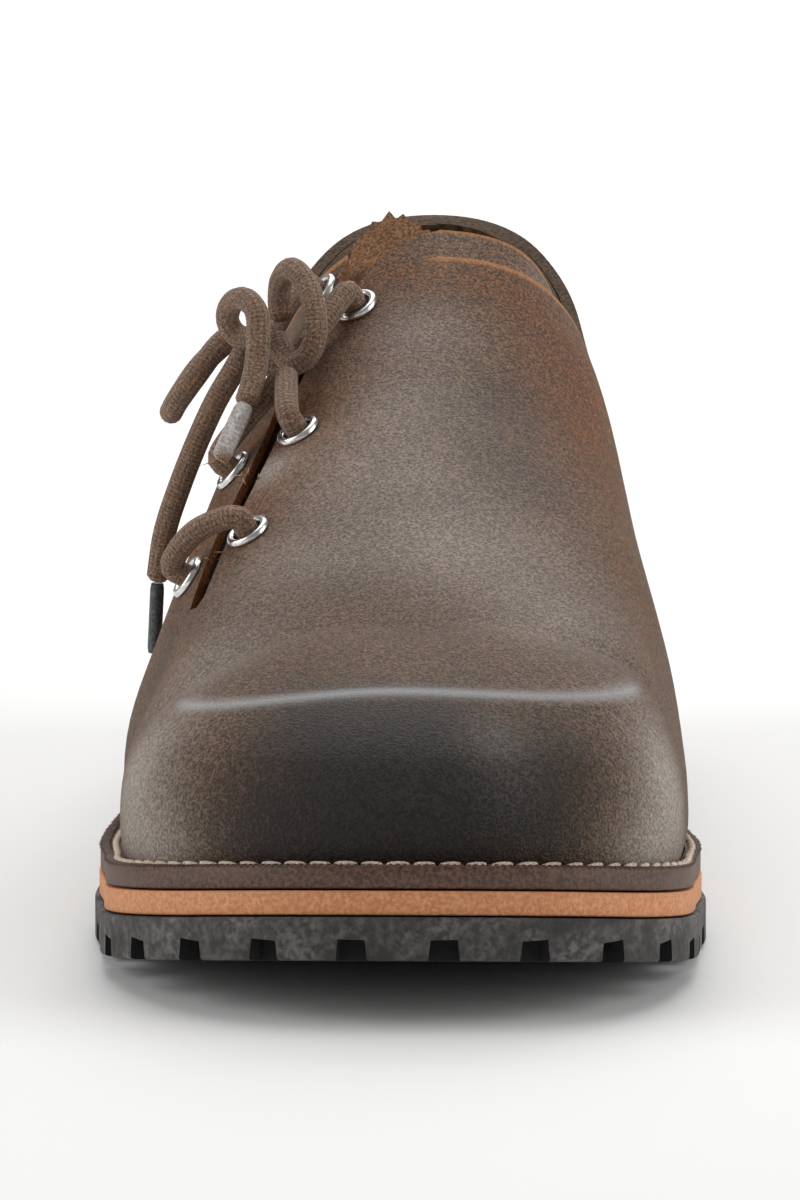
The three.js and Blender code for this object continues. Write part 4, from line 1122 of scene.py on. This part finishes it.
def makeFrays(settings):
    random = np.random.default_rng(settings["seed"])
    points, faces = [], []
    for x, d, z, reach, count, long in frayPlaces:
        for _ in range(count):
            start = np.array([x, d, z]) + random.normal(0, reach / 2, 3)
            way = random.normal(0, 1, 3) + settings["drift"]
            way *= long / np.linalg.norm(way)
            bend = random.normal(0, settings["bend"], 3)
            aside = np.cross(way, (0.3, 0.2, 1.0))
            aside *= settings["thickness"] / np.linalg.norm(aside)
            up = np.cross(way, aside)
            up *= settings["thickness"] / np.linalg.norm(up)
            first = len(points)
            for share, wide in ((0, 1), (0.5, settings["taper"])):
                middle = start + (way + bend) * share
                points += [middle + aside * wide, middle + up * wide, middle - (aside + up) * wide]
            points.append(start + way + bend * settings["tipBend"])
            faces.append((first, first + 2, first + 1))
            faces += ringWall(first, first + 3, 3)
            faces += [(first + 3 + i, first + 3 + (i + 1) % 3, first + 6) for i in range(3)]
    hairs = newPiece("frayed_fibres", points, faces, materials["fray"])
    finishPiece(hairs, "upper_leather")


makeFrays(fraySettings)


# Eyelets: a rolled flange over a barrel, turned round each place on the skin

eyeletSettings = {
    "bore": 2.75, "outer": 4.2, "wall": 0.45, "depth": 1.9, "lift": 0.3, "roll": 0.992, "flatness": 0.8,
    "sides": 40,
}


def makeEyelet(name, settings):
    point, normal = eyeletPlaces[name]
    turn = normal.to_track_quat("Z", "Y")
    bore, outer, depth, lift = (settings[key] for key in ("bore", "outer", "depth", "lift"))
    profile = [(bore + settings["wall"], -depth), (bore + settings["wall"], lift)]
    for angle in np.linspace(0, math.pi, 11):
        rise = settings["roll"] * max(math.sin(angle), 0) ** settings["flatness"]
        profile.append(((bore + outer) / 2 + (outer - bore) / 2 * math.cos(angle), lift + rise))
    profile.append((bore, -depth))
    points, faces, sides = [], [], settings["sides"]
    for i, (radius, height) in enumerate(profile):
        points += [point + turn @ Vector((x * radius, y * radius, height)) for x, y in circle(sides)]
        faces += ringWall(i * sides, (i + 1) % len(profile) * sides, sides)
    ring, nickel = name.replace("eyelet", "ring"), materials["nickel"]
    piece = newPiece(ring, points, faces, nickel, sharpAt=creases["metal"])
    finishPiece(piece, "eyelet_metal", name)


for name in eyeletNames:
    makeEyelet(name, eyeletSettings)
print("eyelets made")


# Sole: slabs that follow the ribs, each with softened edges

softening = {"far": 1.6, "near": 0.45, "nearUp": 0.3}  # shares of a slab's softened edge


def ringLine(knot, margin, heightOf, lift=0.0):
    line = []
    for rib in ribs:
        edge = ribPoint(rib, rib["radii"][knot] + margin, 0)
        edge[2] = heightOf(edge[1]) + lift
        line.append(edge)
    return line


def slabPiece(name, margin, topOf, bottomOf, soft, material, hollow=None):
    # rows: how far in from the edge, and how far up from the bottom or the top
    far, near, nearUp = (soft * softening[key] for key in ("far", "near", "nearUp"))
    rows = [
        (far, bottomOf, 0), (near, bottomOf, nearUp), (0, bottomOf, soft),
        (0, topOf, -soft), (near, topOf, -nearUp), (far, topOf, 0),
    ]
    points = [p for inset, heightOf, lift in rows for p in ringLine(0, margin - inset, heightOf, lift)]
    top, inner = (len(rows) - 1) * ribCount, len(points)
    faces = [face for low in range(0, top, ribCount) for face in ringWall(low, low + ribCount)]
    if hollow is None:
        for start in (0, top):
            for i in range(len(outerRibs) - 1):
                across = (i, i + 1, (ribCount - i - 1) % ribCount, (ribCount - i) % ribCount)
                faces.append([start + j for j in across])
    else:
        points += ringLine(1, hollow, topOf) + ringLine(1, hollow, bottomOf)
        faces += ringWall(top, inner) + ringWall(inner, inner + ribCount) + ringWall(inner + ribCount, 0)
    return newPiece(name, points, faces, material, sharpAt=creases["slab"])


def under(*above):
    # a layer's height at each place, below everything that lies between it and the seam
    return lambda d: seamHeight(d) - sum(last[name] for name in above)


treadSettings = {
    "pitch": 16.5, "gap": 4.8, "flare": 1.2, "height": 3.7, "depth": 13, "breast": 0.725, "flat": 0.4,
    "heelKept": (-9, 40),  # from how low to how high
    "channel": 5, "channelEnd": 0.47, "cutFrom": -4, "grooves": (0.13, 0.205, 0.285, 0.385),
}


def treadBottom(d):
    return max(0, soleRise(d) - treadSettings["flat"])


def heelTop(d):
    return treadBottom(d) - last["gap"]


def heelBottom(_):
    return 0


weltBottom = under("welt")
midsoleTop, midsoleBottom = under("welt", "gap"), under("welt", "gap", "midsole")
outsoleTop = under("welt", "gap", "midsole", "gap")
welt = slabPiece("stitched_welt", -1, seamHeight, weltBottom, 0.5, materials["welt"], hollow=0.3)
finishPiece(welt, "welt_leather", "welt")
midsole = slabPiece("tan_midsole", -0.8, midsoleTop, midsoleBottom, 0.35, materials["midsole"])
finishPiece(midsole, "midsole_leather", "midsole")


def notchCutter(places, material):
    tread = treadSettings
    foot, head, low = (tread["gap"] + tread["flare"]) / 2, tread["gap"] / 2, -tread["height"] / 2
    outline = [(-foot, low), (foot, low), (head, tread["height"]), (-head, tread["height"])]
    cutters = []
    for centre, ahead, bottom in places:
        inward = np.array([-ahead[1], ahead[0]])
        ends = [
            [(*(centre + ahead * a + inward * reach), bottom + z) for a, z in outline]
            for reach in (-tread["gap"], tread["depth"])
        ]
        cutters.append(solidBetween("notch", *ends, material))
    return join("notches", cutters)


def notchPlaces(low, high, bottomOf):
    edge = np.array([ribPoint(rib, rib["radii"][0], 0)[:2] for rib in ribs])
    edge = np.vstack([edge, edge[:1]])
    total = walkedAlong(edge)[-1]
    count = round(total / treadSettings["pitch"])
    line = evenly(edge, total / count / 2)
    places = []
    for before, centre, after in zip(line[::2], line[1::2], line[2::2]):
        if low <= centre[1] <= high:
            ahead = after - before
            places.append((centre, ahead / np.linalg.norm(ahead), bottomOf(centre[1])))
    return places


def boxCutter(low, high, material):
    (x0, y0, z0), (x1, y1, z1) = low, high
    return prism("box", [(x0, y0), (x1, y0), (x1, y1), (x0, y1)], z0, z1, "z", material)


def makeOutsole(tread):
    sole = slabPiece("lugged_outsole", 0, outsoleTop, treadBottom, 0.5, materials["rubber"])
    notches = notchPlaces(0, tread["channelEnd"] * length, treadBottom)
    # the notch walls take a near-black painted shade
    cutWith(sole, notchCutter(notches, materials["notch"]))
    width, half = halfBall - tread["depth"] - tread["channel"], tread["channel"] / 2
    for d in (share * length for share in tread["grooves"]):
        low, high = (-width, d - half, tread["cutFrom"]), (width, d + half, treadBottom(d) + tread["height"])
        cutWith(sole, boxCutter(low, high, materials["rubber"]))
    finishMesh(sole, sharpAt=creases["rubber"])
    finishPiece(sole, "sole_rubber", "outsole")


def makeHeel(tread):
    front = tread["breast"] * length
    heel = slabPiece("rubber_heel", -0.4, heelTop, heelBottom, 0.5, materials["rubber"])
    low, high = tread["heelKept"]
    kept = boxCutter((-wide, front, low), (wide, farBehind, high), materials["rubber"])
    cutWith(heel, kept, "INTERSECT")
    notches = notchPlaces(front + tread["gap"], farBehind, heelBottom)
    cutWith(heel, notchCutter(notches, materials["rubber"]))
    finishMesh(heel, sharpAt=creases["rubber"])
    finishPiece(heel, "sole_rubber", "heel")


makeOutsole(treadSettings)
makeHeel(treadSettings)
print("sole made")

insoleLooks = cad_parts["insole"].data.materials
insoleLooks.clear()
insoleLooks.append(materials["insole"])


# Stitches and wheel marks: one Geometry Nodes tree that sets a small copy at every step along a line

alongSockets = {
    "Step": "NodeSocketFloat", "Copy": "NodeSocketObject", "Lean": "NodeSocketFloat",
    "Unevenness": "NodeSocketFloat", "Seed": "NodeSocketInt", "Finish": "NodeSocketMaterial",
}


def makeAlongTree():
    tree = bpy.data.node_groups.new("setAlong", "GeometryNodeTree")
    face = tree.interface
    face.new_socket("Geometry", in_out="INPUT", socket_type="NodeSocketGeometry")
    keys = {
        title: face.new_socket(title, in_out="INPUT", socket_type=kind).identifier
        for title, kind in alongSockets.items()
    }
    face.new_socket("Geometry", in_out="OUTPUT", socket_type="NodeSocketGeometry")
    given, out = tree.nodes.new("NodeGroupInput").outputs, tree.nodes.new("NodeGroupOutput")
    curve = node(tree, "GeometryNodeMeshToCurve", {"Mesh": given["Geometry"]})
    spaced = {"Curve": curve.outputs[0], "Length": given["Step"]}
    even = node(tree, "GeometryNodeResampleCurve", spaced, mode="LENGTH")
    tangent = {"Vector": node(tree, "GeometryNodeInputTangent").outputs[0]}
    aimed = node(tree, "FunctionNodeAlignRotationToVector", tangent, axis="X", pivot_axis="Z")
    lean = node(tree, "ShaderNodeCombineXYZ", {"Z": given["Lean"]})
    turns = {"Rotation": aimed.outputs[0], "Rotate By": lean.outputs[0]}
    leaned = node(tree, "FunctionNodeRotateRotation", turns, rotation_space="LOCAL")
    copy = node(tree, "GeometryNodeObjectInfo", {"Object": given["Copy"]})
    low, high = (calc(tree, operation, 1.0, given["Unevenness"]) for operation in ("SUBTRACT", "ADD"))
    size = node(tree, "FunctionNodeRandomValue", {2: low, 3: high, "Seed": given["Seed"]}, data_type="FLOAT")
    copies = node(tree, "GeometryNodeInstanceOnPoints", {
        "Points": even.outputs[0], "Instance": copy.outputs["Geometry"],
        "Rotation": leaned.outputs[0], "Scale": size.outputs[1],
    })
    real = node(tree, "GeometryNodeRealizeInstances", {0: copies.outputs[0]})
    finish = {"Geometry": real.outputs[0], "Material": given["Finish"]}
    painted = node(tree, "GeometryNodeSetMaterial", finish)
    tree.links.new(painted.outputs[0], out.inputs[0])
    return tree, keys


alongTree, alongKeys = makeAlongTree()


def smallCopy(settings):
    # a rounded pad, long in x, with a few dozen faces
    rings, sides = settings["rings"], settings["sides"]
    long, broad, high = np.array(settings["size"]) / 2 * mm
    places = []
    for angle in np.linspace(0, math.pi, rings + 1):
        across = max(math.sin(angle), 0) ** 0.7
        places += [(-math.cos(angle) * long, across * x * broad, across * y * high) for x, y in circle(sides)]
    faces = [face for i in range(rings) for face in ringWall(i * sides, (i + 1) * sides, sides)]
    copy = rawPiece("smallCopy", places, faces)
    finishMesh(copy)
    return copy


def setAlong(name, line, settings, material):
    copy = smallCopy(settings)
    loop = [(i, (i + 1) % len(line)) for i in range(len(line))]
    piece = rawPiece(name, inFrame(line), [], edges=loop)
    modifier = piece.modifiers.new("along", "NODES")
    modifier.node_group = alongTree
    values = {
        "Step": settings["pitch"] * mm, "Copy": copy, "Lean": settings["lean"],
        "Unevenness": settings["unevenness"], "Seed": settings["seed"], "Finish": material,
    }
    for title, value in values.items():
        modifier[alongKeys[title]] = value
    applyModifiers(piece)
    piece.data.shade_smooth()
    bpy.data.objects.remove(copy)
    finishPiece(piece, "welt_leather")


stitchSettings = {
    "pitch": 4.6, "size": (4.1, 1.35, 1.15), "rings": 6, "sides": 8, "fromSeam": 1.5, "lift": 0.18,
    "lean": 0.1, "unevenness": 0.07, "seed": 4,
}
stitchLine = ringLine(1, stitchSettings["fromSeam"], seamHeight, stitchSettings["lift"])
setAlong("welt_stitches", stitchLine, stitchSettings, materials["thread"])
wheelSettings = {
    "pitch": 1.25, "size": (0.75, 2.6, 0.5), "rings": 4, "sides": 6, "fromEdge": -2.0, "lift": -0.02,
    "lean": 0.0, "unevenness": 0.1, "seed": 7,
}
wheelLine = ringLine(0, wheelSettings["fromEdge"], seamHeight, wheelSettings["lift"])
setAlong("wheel_marks", wheelLine, wheelSettings, materials["welt"])
print("stitches and wheel marks made")


# Studio: a wide pale floor and soft light

studio = {"floor": "f4f4f3", "floorRough": 0.9, "floorReach": 9, "world": 0.27, "seenWorld": 1.0}
# name, where it stands, where it aims, how wide, how strong
studioLights = [
    ("above", (0, 0.45, 1.45), (0, 0, 0.05), 1.3, 10),
    ("left", (-1.3, -0.35, 0.6), (0, 0, 0.06), 1.1, 10),
    ("right", (1.3, -0.25, 0.6), (0, 0, 0.06), 1.1, 10),
    ("behind", (0.2, 1.3, 1.0), (0, 0, 0.06), 1.2, 10),
]


def makeFloor(settings):
    material, tree, shader = newMaterial("paleFloor")
    fill(tree, shader, {"Base Color": rgb(settings["floor"]), "Roughness": settings["floorRough"]})
    reach = settings["floorReach"]
    corners = [(-reach, -reach, 0), (reach, -reach, 0), (reach, reach, 0), (-reach, reach, 0)]
    rawPiece("floor", corners, [range(4)], material)


def makeLights(rows):
    for name, stand, aim, size, power in rows:
        data = bpy.data.lights.new(name, "AREA")
        data.shape = "SQUARE"
        data.size = size
        data.energy = power
        light = putInScene(name, data)
        light.location = stand
        light.visible_camera = False
        light.rotation_euler = (Vector(aim) - Vector(stand)).to_track_quat("-Z", "Y").to_euler()


def makeWorld(settings):
    world = bpy.data.worlds.new("studioAir")
    world.use_nodes = True
    tree = world.node_tree
    seen = node(tree, "ShaderNodeLightPath").outputs["Is Camera Ray"]
    strength = spread(tree, seen, 0, 1, settings["world"], settings["seenWorld"])
    fill(tree, tree.nodes["Background"], {"Color": (1, 1, 1, 1), "Strength": strength})
    bpy.context.scene.world = world


makeFloor(studio)
makeLights(studioLights)
makeWorld(studio)
bpy.context.scene.view_settings.view_transform = "Standard"
print("studio made")
